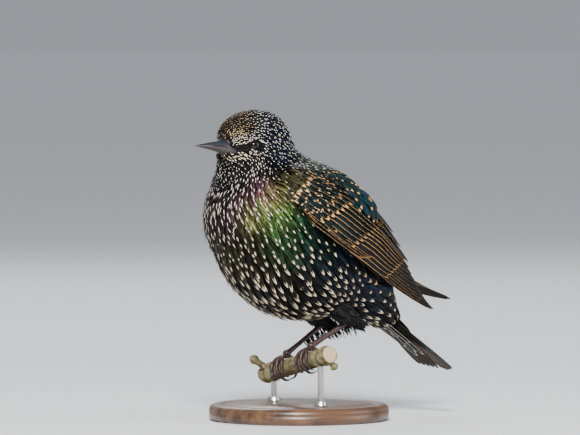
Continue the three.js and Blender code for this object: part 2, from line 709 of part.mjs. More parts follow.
// The bare shank from the feathered heel to the foot.
function shank(side, grow = 0) {
  const bottom = ankle(side).add(new THREE.Vector3(0.6, 0, 0.3));
  const heel = heelAt(side);
  const steps = [0, 0.12, 0.3, 0.6, 0.85, 0.95, 1];
  const swell = [1.25, 1.08, 0.95, 1, 1.2, 1.55, 1.35];
  const path = steps.map((s) => bottom.clone().lerp(heel, s));
  return limb(path, swell.map((r) => r * TARSUS_RADIUS + grow), 10);
}

// The feathered drumstick, from inside the belly's outline down to the heel.
function thigh(side, body) {
  const heel = heelAt(side);
  const hip = new THREE.Vector3(8, side * 17, 30);
  const along = heel.clone().sub(hip);
  const steps = [0, 0.35, 0.6, 0.8, 0.94, 1.04];
  const radii = [11, 10.2, 8.4, 6.0, 3.9, 2.4];
  const path = steps.map((s) => hip.clone().addScaledVector(along, s));
  return largest(limb(path, radii, 12).subtract(body).subtract(shank(side, GAP)));
}

// Stand

function base() {
  const edge = 1.6;
  const outline = [
    [0, 0], [BASE_RADIUS - edge, 0], [BASE_RADIUS, edge], [BASE_RADIUS, BASE_THICK - 3],
    [BASE_RADIUS - 1.2, BASE_THICK - 0.8], [BASE_RADIUS - 3.6, BASE_THICK], [0, BASE_THICK],
  ].map(([x, y]) => new THREE.Vector2(x, y));
  const geometry = new THREE.LatheGeometry(outline, 36);
  geometry.rotateX(Math.PI / 2);
  return solidOf(geometry);
}

function rod(place, woodCutter) {
  const foot = onPerch(place).z;
  const length = PERCH_TOP + foot - BASE_THICK - GAP;
  const geometry = new THREE.CylinderGeometry(ROD_RADIUS, ROD_RADIUS, length, 18);
  geometry.rotateX(Math.PI / 2);
  const at = onPerch(place);
  geometry.translate(at.x, at.y, at.z - length / 2);
  const collar = new THREE.CylinderGeometry(ROD_RADIUS * 1.9, ROD_RADIUS * 2.3, 2, 18);
  collar.rotateX(Math.PI / 2);
  collar.translate(at.x, at.y, at.z - length + 1);
  return largest(solidOf(geometry).add(solidOf(collar)).subtract(woodCutter));
}

// The finished model

function node(name, solid, paint) {
  const mesh = new THREE.Mesh(geometryOfSolid(solid), new THREE.MeshStandardMaterial(PAINT[paint]));
  mesh.name = name;
  return mesh;
}

const model = new THREE.Group();
const bird = new THREE.Group(); // everything above the branch's top
bird.position.z = PERCH_TOP;
model.add(bird);

const bodyShape = bodyCutter();
bird.add(node("head", head(), "spotted"));
bird.add(node("neck", neck(), "spotted"));
bird.add(node("torso", torso(), "plumage"));
bird.add(node("tail", tail(), "flight"));
bird.add(node("bill_upper", upperBill(), "bill"));
bird.add(node("bill_lower", lowerBill(), "bill"));
const SIDES = { left: -1, right: 1 };
for (const [name, side] of Object.entries(SIDES)) {
  bird.add(node(`eye_${name}`, eyeBall(side), "eye"));
  bird.add(node(`wing_${name}`, wingSolid(WINGS[name], bodyShape), "flight"));
  bird.add(node(`thigh_${name}`, thigh(side, bodyShape), "plumage"));
  bird.add(node(`shank_${name}`, shank(side), "leg"));
  bird.add(node(`foot_${name}`, foot(side), "leg"));
  for (const toe of TOES) bird.add(node(`claw_${name}_${toe.name}`, claw(side, toe), "claw"));
}
bird.add(node("perch_branch", perch(), "bark"));
const perchCutter = branch(GAP);
ROD_PLACES.forEach((place, i) => bird.add(node(`stand_rod_${i + 1}`, rod(place, perchCutter), "steel")));
model.add(node("stand_base", base(), "wood"));

export default model;
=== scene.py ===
"""A fluffed winter starling on a short cut branch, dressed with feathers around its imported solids.

Shapes are worked out in millimetres in the bird's own space, where the bird faces -X, its left side is -Y
and z is zero at the top of the branch; make_mesh turns them into metres and lifts them on to the stand.
"""

import math

import bpy
import numpy as np
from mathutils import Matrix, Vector, kdtree


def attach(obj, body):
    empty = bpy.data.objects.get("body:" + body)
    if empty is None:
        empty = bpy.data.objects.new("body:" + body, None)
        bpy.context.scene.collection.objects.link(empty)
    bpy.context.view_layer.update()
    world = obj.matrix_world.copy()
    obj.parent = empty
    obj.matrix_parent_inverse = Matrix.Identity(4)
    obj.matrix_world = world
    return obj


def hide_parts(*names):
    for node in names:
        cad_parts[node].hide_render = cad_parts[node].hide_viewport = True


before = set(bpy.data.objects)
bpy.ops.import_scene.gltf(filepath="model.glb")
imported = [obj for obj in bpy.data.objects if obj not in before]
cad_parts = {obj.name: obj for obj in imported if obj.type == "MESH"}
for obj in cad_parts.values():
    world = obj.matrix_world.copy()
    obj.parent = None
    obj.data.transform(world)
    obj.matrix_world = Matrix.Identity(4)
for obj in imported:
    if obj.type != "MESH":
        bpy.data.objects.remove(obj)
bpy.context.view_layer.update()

# Driving dimensions, the same as in the solids
BASE_THICK = 9
BASE_RADIUS = 50
PERCH_TOP = 36
PERCH_RADIUS = 5
PERCH_TILT = math.radians(12)
PERCH_NEAR = 33
PERCH_FAR = 37
HEAD_TURN = math.radians(8)
NECK_PIVOT_X = -20
BODY_BLEND = 4.5
EYE_RADIUS = 3.6
EYE = np.array([-38.2, 9.3, 117])
COAT_DEPTH = 2.0  # how far the skin lies inside the outline of the plumage

# Egg shapes: centre x and z, half sizes along, across and up, pitch in degrees, turning with the head
EGGS = {
    "skull": ((-28.5, 121.5), (21.5, 7.9, 14.4), 0, True),
    "brow": ((-42, 119.5), (9.5, 3.5, 8), 0, True),
    "cheek": ((-30, 109.5), (18.5, 8.2, 11), 0, True),
    "ruff": ((-24.5, 98), (22.5, 18.5, 17), 0, False),
    "breast": ((-18, 77), (38, 34, 32), 0, False),
    "belly": ((-5, 54), (41, 37, 33), -20, False),
    "mantle": ((12, 78), (31, 30, 25), -38, False),
    "rump": ((33, 45), (29, 22, 20), -40, False),
    "vent": ((45, 27), (24, 11, 8), -30, False),
}

# Stations from the bill to the tail: centre x and z, lean in degrees, cone angle of the rays
STATIONS = [
    (-41, 117, 0, 26), (-40.5, 118, 14, 60), (-40.5, 119, 28, 90), (-32.8, 114, 45, 90),
    (-28.5, 104, 60, 90), (-24.5, 94, 68, 90), (-15, 82.5, 70, 90), (-4, 65, 71, 90),
    (9, 47.5, 67, 90), (24.5, 35.5, 61, 90), (39, 29, 55, 90), (52, 24.5, 43, 90), (60, 19, 38, 90),
]
LAST_STATION = len(STATIONS) - 1
HEAD_FULL_TURN = 2
HEAD_NO_TURN = 5

# Wing edges from the bend to the tip
WINGS = {
    "left": (-1, [(-25, 33, 89), (-8, 39.5, 71), (20, 37, 52), (54, 21, 33), (87, 7, 22)],
             [(-19, 27, 101), (12, 24, 96.5), (38, 17, 79), (62, 9, 58), (90, 6, 26.5)]),
    "right": (1, [(-25, 33, 89), (-8, 39.5, 71), (20, 37, 53), (56, 20, 38), (102, 3, 27.5)],
              [(-19, 27, 101), (12, 24, 96.5), (38, 17, 79), (64, 9, 60), (104, 2, 31.5)]),
}
WING_BULGE = 6.5

TAIL_ROOT = np.array([47.0, 0, 31])
TAIL_PITCH = math.radians(41)
TAIL_LENGTH = 64
TAIL_TURN = math.radians(-4)
TAIL_FAN = math.radians(18)
TAIL_FEATHERS = 12
VANE_STEP = 0.4

PALE = {
    "white": (0.90, 0.84, 0.72),
    "cream": (0.80, 0.67, 0.46),
    "gold": (0.66, 0.42, 0.15),
    "buff": (0.80, 0.44, 0.15),
    "grey": (0.46, 0.44, 0.41),
    "pale_grey": (0.72, 0.70, 0.64),
    "brown": (0.16, 0.11, 0.07),
}

SIDES = {"left": -1, "right": 1}
WHOLE = 9  # a spot this wide covers the whole width of a feather
NO_MARK = (1.5, 0.0, -0.2, WHOLE)

draw = np.random.default_rng(7)


# General helpers

def smoothstep(start, end, value):
    """Eases from 0 at start to 1 at end with a cubic that is level at both."""
    t = np.clip((value - start) / (end - start), 0, 1)
    return t * t * (3 - 2 * t)


def mix(a, b, share):
    return a + (b - a) * share


def filled(value, *shape):
    """A number or a row of numbers repeated to a shape."""
    return np.broadcast_to(np.asarray(value, float), shape)


def full_turn(count):
    """Angles spaced evenly round a circle."""
    return np.linspace(0, 2 * np.pi, count, endpoint=False)


def spline(rows, t):
    """Uniform Catmull-Rom through rows of numbers, carried on straight past the ends; t counts the rows."""
    p = np.asarray(rows, float)
    p = np.vstack([2 * p[0] - p[1], p, 2 * p[-1] - p[-2]])
    t = np.asarray(t, float)
    i = np.clip(np.floor(t).astype(int), 0, len(p) - 4)
    f = (t - i)[..., None]
    a, b, c, d = p[i], p[i + 1], p[i + 2], p[i + 3]
    return 0.5 * (2 * b + (c - a) * f + (2 * a - 5 * b + 4 * c - d) * f**2 + (3 * b - a - 3 * c + d) * f**3)


def unit(v):
    return v / (np.linalg.norm(v, axis=-1, keepdims=True) + 1e-12)


def turn_about_neck(p, angle):
    """Turns points about the upright axis through the neck."""
    x, y = p[..., 0] - NECK_PIVOT_X, p[..., 1]
    c, s = np.cos(angle), np.sin(angle)
    return np.stack([NECK_PIVOT_X + x * c - y * s, x * s + y * c, p[..., 2]], -1)


def make_mesh(name, points, quads, tris, material, smooth=True, uvs=None, values=None, colours=None):
    """Puts millimetre points in the bird's space into a mesh in metres, with its own maps and attributes."""
    mesh = bpy.data.meshes.new(name)
    places = (np.asarray(points, float) + (0, 0, PERCH_TOP)) * 0.001
    quads = np.asarray(quads, int).reshape(-1, 4)
    tris = np.asarray(tris, int).reshape(-1, 3)
    corners = np.concatenate([quads.ravel(), tris.ravel()])
    starts = np.concatenate([np.arange(len(quads)) * 4, len(quads) * 4 + np.arange(len(tris)) * 3])
    mesh.vertices.add(len(places))
    mesh.vertices.foreach_set("co", places.ravel())
    mesh.loops.add(len(corners))
    mesh.loops.foreach_set("vertex_index", corners)
    mesh.polygons.add(len(starts))
    mesh.polygons.foreach_set("loop_start", starts)
    mesh.update(calc_edges=True)
    flags = np.broadcast_to(np.asarray(smooth, bool), len(starts))
    mesh.polygons.foreach_set("use_smooth", flags)
    for label, table in (uvs or {}).items():
        layer = mesh.uv_layers.new(name=label)
        layer.data.foreach_set("uv", table[corners].astype(float).ravel())
    for label, table in (values or {}).items():
        layer = mesh.attributes.new(label, "FLOAT_VECTOR", "POINT")
        layer.data.foreach_set("vector", table.astype(float).ravel())
    for label, table in (colours or {}).items():
        layer = mesh.attributes.new(label, "FLOAT_COLOR", "POINT")
        layer.data.foreach_set("color", table.astype(float).ravel())
    mesh.materials.append(material)
    piece = bpy.data.objects.new(name, mesh)
    bpy.context.collection.objects.link(piece)
    return piece


def on_model(piece, slot, *nodes):
    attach(piece, "root")
    if nodes:
        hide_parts(*nodes)
    return piece


def grid_quads(rows, columns, closed=False):
    """Quads between neighbouring rings of points, and from the last ring to the first where they close."""
    i = np.arange(rows if closed else rows - 1)[:, None]
    j = np.arange(columns)[None, :]
    k = (j + 1) % columns
    near = i * columns
    far = (i + 1) % rows * columns
    return np.stack([near + j, near + k, far + k, far + j], -1).reshape(-1, 4)


def closed_tube(rings):
    """Points, quads and end triangles of a tube of rings that a fan closes at both ends."""
    rows, columns = rings.shape[:2]
    points = np.concatenate([rings.reshape(-1, 3), rings[0].mean(0)[None], rings[-1].mean(0)[None]])
    j = np.arange(columns)
    k = (j + 1) % columns
    first, last, end = rows * columns, rows * columns + 1, (rows - 1) * columns
    tris = np.concatenate([np.stack([np.full(columns, first), k, j], -1),
                           np.stack([np.full(columns, last), end + j, end + k], -1)])
    return points, grid_quads(rows, columns), tris


def joined(parts):
    """Several sets of points, quads and triangles as one."""
    points, quads, tris, count = [], [], [], 0
    for p, q, t in parts:
        points.append(p)
        quads.append(np.asarray(q, int).reshape(-1, 4) + count)
        tris.append(np.asarray(t, int).reshape(-1, 3) + count)
        count += len(p)
    return np.concatenate(points), np.concatenate(quads), np.concatenate(tris)


def facing_out(points, quads, tris):
    """Turns every face round if the closed shape holds a negative volume."""
    faces = np.concatenate([quads[:, [0, 1, 2]], quads[:, [0, 2, 3]], tris])
    a, b, c = (points[faces[:, k]] for k in range(3))
    if np.einsum("ij,ij->i", a, np.cross(b, c)).sum() < 0:
        return points, quads[:, ::-1], tris[:, ::-1]
    return points, quads, tris


def tube_along(path, radii, across, over, sides):
    """A closed tube with rings across and over a path; radii holds a row for each point of the path."""
    angle = full_turn(sides)[None, :, None]
    spokes = across[:, None] * np.cos(angle) + over[:, None] * np.sin(angle)
    return facing_out(*closed_tube(path[:, None] + radii[..., None] * spokes))


def limb(path, radii, sides):
    """A round tapering tube along a path, with a radius at each of its points."""
    along = unit(np.gradient(path, axis=0))
    across = np.cross(along, (0, 0, 1.0))
    upright = np.linalg.norm(across, axis=1) < 0.05
    across[upright] = (0, 1.0, 0)
    across = unit(across)
    return tube_along(path, radii[:, None], across, np.cross(across, along), sides)


# The body's surface

def body_field(p):
    """Near zero on the body, negative inside: a soft minimum of the distances to the egg shapes."""
    total = 0.0
    turned = turn_about_neck(p, -HEAD_TURN)
    for (cx, cz), size, pitch, turns in EGGS.values():
        q = (turned if turns else p) - (cx, 0, cz)
        c, s = math.cos(math.radians(pitch)), math.sin(math.radians(pitch))
        local = np.stack([q[..., 0] * c + q[..., 2] * s, q[..., 1], -q[..., 0] * s + q[..., 2] * c], -1)
        near = np.linalg.norm(local / size, axis=-1)
        slope = np.linalg.norm(local / np.square(size), axis=-1) + 1e-9
        total = total + np.exp(-near * (near - 1) / slope / BODY_BLEND)
    return -BODY_BLEND * np.log(total)


def body_point(u, phi, level=0.0):
    """The surface at station u and angle phi, 0 over the back and pi below, found by halving a ray."""
    x, z, lean, cone = np.moveaxis(spline(STATIONS, u), -1, 0)
    turn = HEAD_TURN * (1 - smoothstep(HEAD_FULL_TURN, HEAD_NO_TURN, u))
    lean, cone = np.radians(lean), np.radians(cone)
    zero = np.zeros_like(x)
    centre = turn_about_neck(np.stack([x, zero, z], -1), turn)
    c, s = np.cos(turn), np.sin(turn)

    def level_turn(vx, vy, vz):
        return np.stack([vx * c - vy * s, vx * s + vy * c, vz], -1)

    axis = level_turn(-np.cos(lean), zero, np.sin(lean))
    up = level_turn(np.sin(lean), zero, np.cos(lean))
    side = level_turn(zero, zero + 1, zero)
    ray = (up * (np.cos(phi) * np.sin(cone))[..., None] + side * (np.sin(phi) * np.sin(cone))[..., None]
           + axis * np.cos(cone)[..., None])
    inner = np.zeros_like(x)
    outer = inner + 80
    for _ in range(22):
        middle = (inner + outer) / 2
        inside = body_field(centre + ray * middle[..., None]) < level
        inner = np.where(inside, middle, inner)
        outer = np.where(inside, outer, middle)
    return centre + ray * inner[..., None]


def body_stations(rows, around, first=0.0, last=LAST_STATION):
    """Stations and angles of an even grid over the body."""
    u = np.linspace(first, last, rows)[:, None] + np.zeros(around)
    phi = full_turn(around)[None, :] + np.zeros((rows, 1))
    return u, phi


BODY_ROWS = 241
BODY_AROUND = 160
grid_u, grid_phi = body_stations(BODY_ROWS, BODY_AROUND)
body_grid = body_point(grid_u, grid_phi)


def grid_normals(grid):
    """Outward normals of a grid that closes round its second direction."""
    along = np.gradient(grid, axis=0)
    around = np.roll(grid, -1, 1) - np.roll(grid, 1, 1)
    return unit(np.cross(around, along))


body_normals = grid_normals(body_grid)
if ((body_grid - body_grid.mean((0, 1))) * body_normals).sum(-1).mean() < 0:
    body_normals = -body_normals


def read_grid(grid, u, phi):
    """A grid's value between its points at station u and angle phi."""
    rows, around = grid.shape[:2]
    fu = np.clip(u, 0, LAST_STATION) / LAST_STATION * (rows - 1)
    fv = np.mod(phi / (2 * np.pi), 1) * around
    i = np.clip(np.floor(fu).astype(int), 0, rows - 2)
    j = np.floor(fv).astype(int) % around
    k = (j + 1) % around
    f, g = (fu - i)[..., None], (fv - np.floor(fv))[..., None]
    return (grid[i, j] * (1 - f) * (1 - g) + grid[i + 1, j] * f * (1 - g)
            + grid[i, k] * (1 - f) * g + grid[i + 1, k] * f * g)


def on_body(u, phi):
    return read_grid(body_grid, u, phi), unit(read_grid(body_normals, u, phi))


# The wings' surface

def wing_sheet(name, a, b):
    """Place and outward normal on a wing's sheet: a from bend to tip, b from lower edge to upper edge."""
    side, low, top = WINGS[name]

    def place(s, t):
        swell = WING_BULGE * np.sin(np.pi * np.clip(t, 0, 1)) * (1 - smoothstep(0.45, 1, s))
        p = mix(spline(low, s * 4), spline(top, s * 4), t[..., None])
        return np.stack([p[..., 0], side * (p[..., 1] + swell * 0.85), p[..., 2] + swell * 0.35], -1)

    a, b = np.asarray(a, float), np.asarray(b, float)
    step = 0.01
    along = place(a + step, b) - place(a - step, b)
    across = place(a, b + step) - place(a, b - step)
    out = unit(np.cross(across, along))
    out = np.where(out[..., 1:2] * side < 0, -out, out)
    return place(a, b), out


# Colours of the plumage over the body

# Places where the gloss changes: x, distance from the middle, z, reach, colour, how metallic. The hue of each
# place is the plumage's own iridescence; the bright pink, gold and green places on the breast and shoulder
# are painted sheen.
GLOSS = [
    (-30, 4, 135, 12, (0.008, 0.008, 0.009), 0.3),
    (-12, 8, 122, 12, (0.007, 0.011, 0.020), 0.6),
    (-35, 14, 108, 9, (0.007, 0.006, 0.006), 0.4),
    (-20, 16, 106, 8, (0.006, 0.011, 0.024), 0.7),
    (-51, 0, 104, 12, (0.005, 0.004, 0.005), 0.4),
    (-50, 12, 92, 11, (0.008, 0.005, 0.007), 0.4),
    (-40, 26, 87, 5, (0.170, 0.060, 0.095), 0.85),
    (-50, 20, 80, 7, (0.045, 0.018, 0.028), 0.7),
    (-56, 4, 74, 9, (0.020, 0.011, 0.012), 0.6),
    (-33, 31, 85, 5, (0.230, 0.185, 0.070), 0.85),
    (-43, 26, 74, 6, (0.150, 0.150, 0.045), 0.85),
    (-31, 33, 73, 7, (0.080, 0.150, 0.035), 0.85),
    (-18, 36, 69, 7, (0.010, 0.034, 0.016), 0.75),
    (-27, 34, 58, 8, (0.014, 0.036, 0.014), 0.65),
    (0, 38, 58, 12, (0.003, 0.009, 0.009), 0.6),
    (20, 28, 42, 14, (0.004, 0.006, 0.012), 0.5),
    (-48, 12, 54, 14, (0.014, 0.011, 0.006), 0.4),
    (-20, 12, 30, 18, (0.007, 0.005, 0.004), 0.3),
    (10, 8, 22, 16, (0.005, 0.005, 0.005), 0.3),
    (-22, 35, 91, 5, (0.090, 0.075, 0.030), 0.7),
    (-6, 38, 90, 9, (0.012, 0.014, 0.009), 0.6),
    (5, 26, 100, 12, (0.008, 0.020, 0.018), 0.7),
    (22, 14, 94, 14, (0.007, 0.034, 0.040), 0.75),
    (40, 8, 75, 14, (0.007, 0.022, 0.050), 0.75),
    (50, 6, 50, 14, (0.007, 0.016, 0.028), 0.6),
    (52, 0, 24, 12, (0.006, 0.006, 0.007), 0.3),
]
gloss_places = np.array([g[:3] for g in GLOSS], float)
gloss_reach = np.array([g[3] for g in GLOSS], float)
gloss_table = np.array([(*g[4], g[5]) for g in GLOSS])


def gloss_at(p):
    """Colour and shine of the dark plumage, its bright places painted sheen: a blend of the gloss places,
    weighed by nearness.
    """
    q = np.stack([p[..., 0], np.abs(p[..., 1]), p[..., 2]], -1)
    far = np.linalg.norm(q[..., None, :] - gloss_places, axis=-1) / gloss_reach
    weight = np.exp(-np.square(far) * 0.8) + 1e-6
    return (weight[..., None] * gloss_table).sum(-2) / weight.sum(-1, keepdims=True)


# Materials

FLOAT = "NodeSocketFloat"
COLOUR = "NodeSocketColor"
SHADER_INPUTS = {"rough": "Roughness", "specular": "Specular IOR Level", "coat": "Coat Weight",
                 "coat_rough": "Coat Roughness", "metal": "Metallic"}


def new_material(name, **settings):
    """A material with its tree and its Principled shader, whose inputs are set by the short names above."""
    material = bpy.data.materials.new(name)
    material.use_nodes = True
    tree = material.node_tree
    shader = tree.nodes["Principled BSDF"]
    for key, value in settings.items():
        shader.inputs[SHADER_INPUTS[key]].default_value = value
    return material, tree, shader


def plain_material(name, colour, **settings):
    material, _, shader = new_material(name, **settings)
    shader.inputs["Base Color"].default_value = (*colour, 1)
    return material


def add(tree, kind, **settings):
    """A node with its settings; a setting named in<number> sets that input."""
    node = tree.nodes.new(kind)
    for key, value in settings.items():
        if key.startswith("in") and key[2:].isdigit():
            node.inputs[int(key[2:])].default_value = value
        else:
            setattr(node, key, value)
    return node


def wire(tree, *pairs):
    for source, target in pairs:
        tree.links.new(source, target)


def plug(tree, node, terms):
    """Fills sockets by number: each term is a number, a colour or another node's output."""
    for index, term in terms.items():
        socket = node.inputs[index]
        if isinstance(term, (int, float)):
            socket.default_value = term
        elif isinstance(term, tuple):
            socket.default_value = (*term, 1)
        else:
            tree.links.new(term, socket)


def sums(tree, operation, *terms, clamp=False):
    """A Math node."""
    node = add(tree, "ShaderNodeMath", operation=operation, use_clamp=clamp)
    plug(tree, node, dict(enumerate(terms)))
    return node.outputs[0]


def ranged(tree, value, start, end, low=0.0, high=1.0, easing="SMOOTHSTEP"):
    """A value that runs from low to high between start and end."""
    node = add(tree, "ShaderNodeMapRange", interpolation_type=easing)
    plug(tree, node, dict(enumerate((value, start, end, low, high))))
    return node.outputs[0]


def blend_colours(tree, share, a, b):
    node = add(tree, "ShaderNodeMix", data_type="RGBA")
    plug(tree, node, {0: share, 6: a, 7: b})
    return node.outputs[2]


def split_up(tree, vector):
    """The three numbers of a vector."""
    node = add(tree, "ShaderNodeSeparateXYZ")
    tree.links.new(vector, node.inputs[0])
    return node.outputs


def combined(tree, *terms):
    """A vector from three numbers."""
    node = add(tree, "ShaderNodeCombineXYZ")
    plug(tree, node, dict(enumerate(terms)))
    return node.outputs[0]


def on_object(tree, kind, scale=(1, 1, 1), **settings):
    """A texture on the object's own coordinates, drawn out by a scale for each axis."""
    place = add(tree, "ShaderNodeTexCoord")
    stretch = add(tree, "ShaderNodeMapping")
    stretch.inputs["Scale"].default_value = scale
    texture = add(tree, kind, **settings)
    wire(tree, (place.outputs["Object"], stretch.inputs[0]), (stretch.outputs[0], texture.inputs["Vector"]))
    return texture


def ramp(tree, value, first, *middle, last):
    """A colour ramp over a value; each stop is a place and a colour."""
    node = add(tree, "ShaderNodeValToRGB")
    stops = node.color_ramp.elements
    for stop, (position, colour) in ((stops[0], first), (stops[1], last)):
        stop.position = position
        stop.color = (*colour, 1)
    for position, colour in middle:
        stops.new(position).color = (*colour, 1)
    tree.links.new(value, node.inputs[0])
    return node.outputs[0]


def finished(tree, shader, colour, height, strength, distance):
    """Gives a shader its colour and raises its surface by a height."""
    bumps = add(tree, "ShaderNodeBump", in0=strength, in1=distance)
    wire(tree, (colour, shader.inputs["Base Color"]), (height, bumps.inputs["Height"]),
         (bumps.outputs[0], shader.inputs["Normal"]))


def group_of(name, inputs, outputs):
    """An empty shader group with named sockets."""
    group = bpy.data.node_groups.new(name, "ShaderNodeTree")
    for label, kind in inputs.items():
        group.interface.new_socket(name=label, in_out="INPUT", socket_type=kind)
    for label, kind in outputs.items():
        group.interface.new_socket(name=label, in_out="OUTPUT", socket_type=kind)
    return group, group.nodes.new("NodeGroupInput"), group.nodes.new("NodeGroupOutput")


def vane_pattern_group():
    """Markings of one feather: its pale tip or arms and pale fringe, the streaks of its barbs and the height
    of its shaft."""
    group, ins, outs = group_of("vane_pattern", {"Edge softness": FLOAT, "Loose": FLOAT},
                                {"Pale": FLOAT, "Streak": FLOAT, "Height": FLOAT, "Chance": FLOAT})
    softness, loose = ins.outputs[:2]
    vane = add(group, "ShaderNodeUVMap", uv_map="vane")
    spot = add(group, "ShaderNodeUVMap", uv_map="spot")
    mark = add(group, "ShaderNodeAttribute", attribute_name="mark")
    pale = add(group, "ShaderNodeAttribute", attribute_name="pale")
    along, across, _ = split_up(group, vane.outputs[0])
    off = split_up(group, spot.outputs[0])[0]
    start, arm, fringe = split_up(group, mark.outputs["Vector"])
    widest, chance = mark.outputs["Alpha"], pale.outputs["Alpha"]
    from_shaft = sums(group, "ABSOLUTE", sums(group, "MULTIPLY_ADD", across, 2.0, -1.0))
    own = sums(group, "MULTIPLY", chance, 91.0)
    # firm barbs leave the shaft slanting towards the tip, so lines of equal barb go back as they go out
    barb = sums(group, "MULTIPLY", sums(group, "MULTIPLY_ADD", from_shaft, -0.22, along), 26.0)
    firm_place = combined(group, barb, own, sums(group, "MULTIPLY", across, 1.6))
    # the loose barbs of soft feathers run almost along the shaft and spread out towards the tip
    apart = sums(group, "MULTIPLY", along, 1.5)
    strand = sums(group, "SUBTRACT", sums(group, "MULTIPLY", across, 17.0), apart)
    loose_place = combined(group, strand, own, sums(group, "MULTIPLY", along, 2.4))
    lay = add(group, "ShaderNodeMix", data_type="VECTOR")
    plug(group, lay, {0: loose, 4: firm_place, 5: loose_place})
    streaks = add(group, "ShaderNodeTexNoise", in2=1.0, in3=2.0)
    wire(group, (lay.outputs[1], streaks.inputs["Vector"]))
    streak = streaks.outputs[0]
    reach = sums(group, "MULTIPLY_ADD", off, arm, along)
    ragged = sums(group, "MULTIPLY_ADD", sums(group, "SUBTRACT", streak, 0.5), 0.10, reach)
    tip = ranged(group, ragged, start, sums(group, "ADD", start, softness))
    inner, outer = (sums(group, "MULTIPLY", widest, share) for share in (0.7, 1.15))
    within = ranged(group, off, inner, outer, 1.0, 0.0)
    inner_edge = sums(group, "SUBTRACT", 1.0, fringe)
    rim = ranged(group, from_shaft, inner_edge, sums(group, "ADD", inner_edge, 0.08))
    shaft = ranged(group, from_shaft, 0.0, 0.1, 1.0, 0.0)
    plug(group, outs, {0: sums(group, "MAXIMUM", sums(group, "MULTIPLY", tip, within), rim), 1: streak,
                       2: sums(group, "MULTIPLY_ADD", shaft, 0.8, streak), 3: chance})
    return group


vane_pattern = vane_pattern_group()


def plumage_material(name, softness, loose, rough, bump):
    """Glossy dark feather whose tips, arms or fringes turn pale, with painted glints: the streaks of its
    barbs brighten its dark colour.
    """
    material, tree, shader = new_material(name, specular=0.16)
    pattern = add(tree, "ShaderNodeGroup", node_tree=vane_pattern, in0=softness, in1=loose)
    gloss = add(tree, "ShaderNodeAttribute", attribute_name="gloss")
    pale = add(tree, "ShaderNodeAttribute", attribute_name="pale")
    pale_share, streak, height, chance = pattern.outputs
    varied = sums(tree, "MULTIPLY_ADD", chance, mix(0.7, 1.1, loose), mix(0.6, 0.35, loose))
    # painted glints: the streaks of the barbs scale the brightness of the gloss colour, dark between them
    painted_glint = ranged(tree, streak, 0.36, 0.66, mix(0.3, 0.08, loose), mix(2.0, 2.8, loose))
    dark = add(tree, "ShaderNodeHueSaturation")
    wire(tree, (gloss.outputs["Color"], dark.inputs["Color"]),
         (sums(tree, "MULTIPLY_ADD", chance, 0.07, 0.465), dark.inputs["Hue"]),
         (sums(tree, "MULTIPLY", varied, painted_glint), dark.inputs["Value"]))
    dusty = sums(tree, "MULTIPLY", streak, 0.22)
    light = blend_colours(tree, dusty, pale.outputs["Color"], (0.34, 0.25, 0.15))
    dark_share = sums(tree, "SUBTRACT", 1.0, pale_share)
    dull = sums(tree, "MULTIPLY_ADD", pale_share, 0.3, rough)
    wire(tree, (sums(tree, "MULTIPLY", gloss.outputs["Alpha"], dark_share), shader.inputs["Metallic"]),
         (sums(tree, "MULTIPLY_ADD", streak, 0.22, dull, clamp=True), shader.inputs["Roughness"]))
    finished(tree, shader, blend_colours(tree, pale_share, dark.outputs[0], light), height, bump, 0.0004)
    return material


def skin_material():
    """The down between the feathers: the dark of the plumage with its share of pale flecks."""
    material, tree, shader = new_material("down", rough=0.85, specular=0.1)
    gloss = add(tree, "ShaderNodeAttribute", attribute_name="gloss")
    pale = add(tree, "ShaderNodeAttribute", attribute_name="pale")
    flecks = on_object(tree, "ShaderNodeTexNoise", in2=900.0, in3=3.0).outputs[0]
    share = sums(tree, "MULTIPLY", pale.outputs["Alpha"], sums(tree, "GREATER_THAN", flecks, 0.56))
    black = (0.004, 0.004, 0.004)
    # the gloss colour here carries the painted sheen of the bright gloss places
    dark = blend_colours(tree, 0.5, blend_colours(tree, flecks, black, gloss.outputs["Color"]), black)
    colour = blend_colours(tree, sums(tree, "MULTIPLY", share, 0.6), dark, pale.outputs["Color"])
    finished(tree, shader, colour, flecks, 0.6, 0.0006)
    return material


soft_plumage = plumage_material("body_plumage", 0.07, 1.0, 0.36, 0.6)
fine_plumage = plumage_material("head_plumage", 0.10, 1.0, 0.44, 0.4)
sleek_plumage = plumage_material("back_plumage", 0.06, 0.0, 0.38, 0.5)
firm_plumage = plumage_material("flight_plumage", 0.05, 0.0, 0.40, 0.6)
down = skin_material()

DARK_FLIGHT = (0.008, 0.007, 0.006, 0.1)
GLOSSY_FLIGHT = (0.004, 0.005, 0.008, 0.3)
COVERT_GLOSS = (0.005, 0.013, 0.015, 0.5)
# painted sheen: the golden-olive shoulder gloss, like the bright gloss places of the breast
SHOULDER_GLOSS = (0.045, 0.038, 0.016, 0.6)


def dark_core(name, shape, slot, nodes=(), gloss=DARK_FLIGHT, flecks=0.1, unwrap=(0.5, 0.5)):
    """A closed core under the feathers in the dark of the flight feathers."""
    points, quads, tris = shape
    count = len(points)
    colours = {"gloss": filled(gloss, count, 4), "pale": filled((*PALE["brown"], flecks), count, 4)}
    uvs = {"OFBake": filled(unwrap, count, 2)}
    core = make_mesh(name, points, quads, tris, down, uvs=uvs, colours=colours)
    return on_model(core, slot, *nodes)


# Feathers

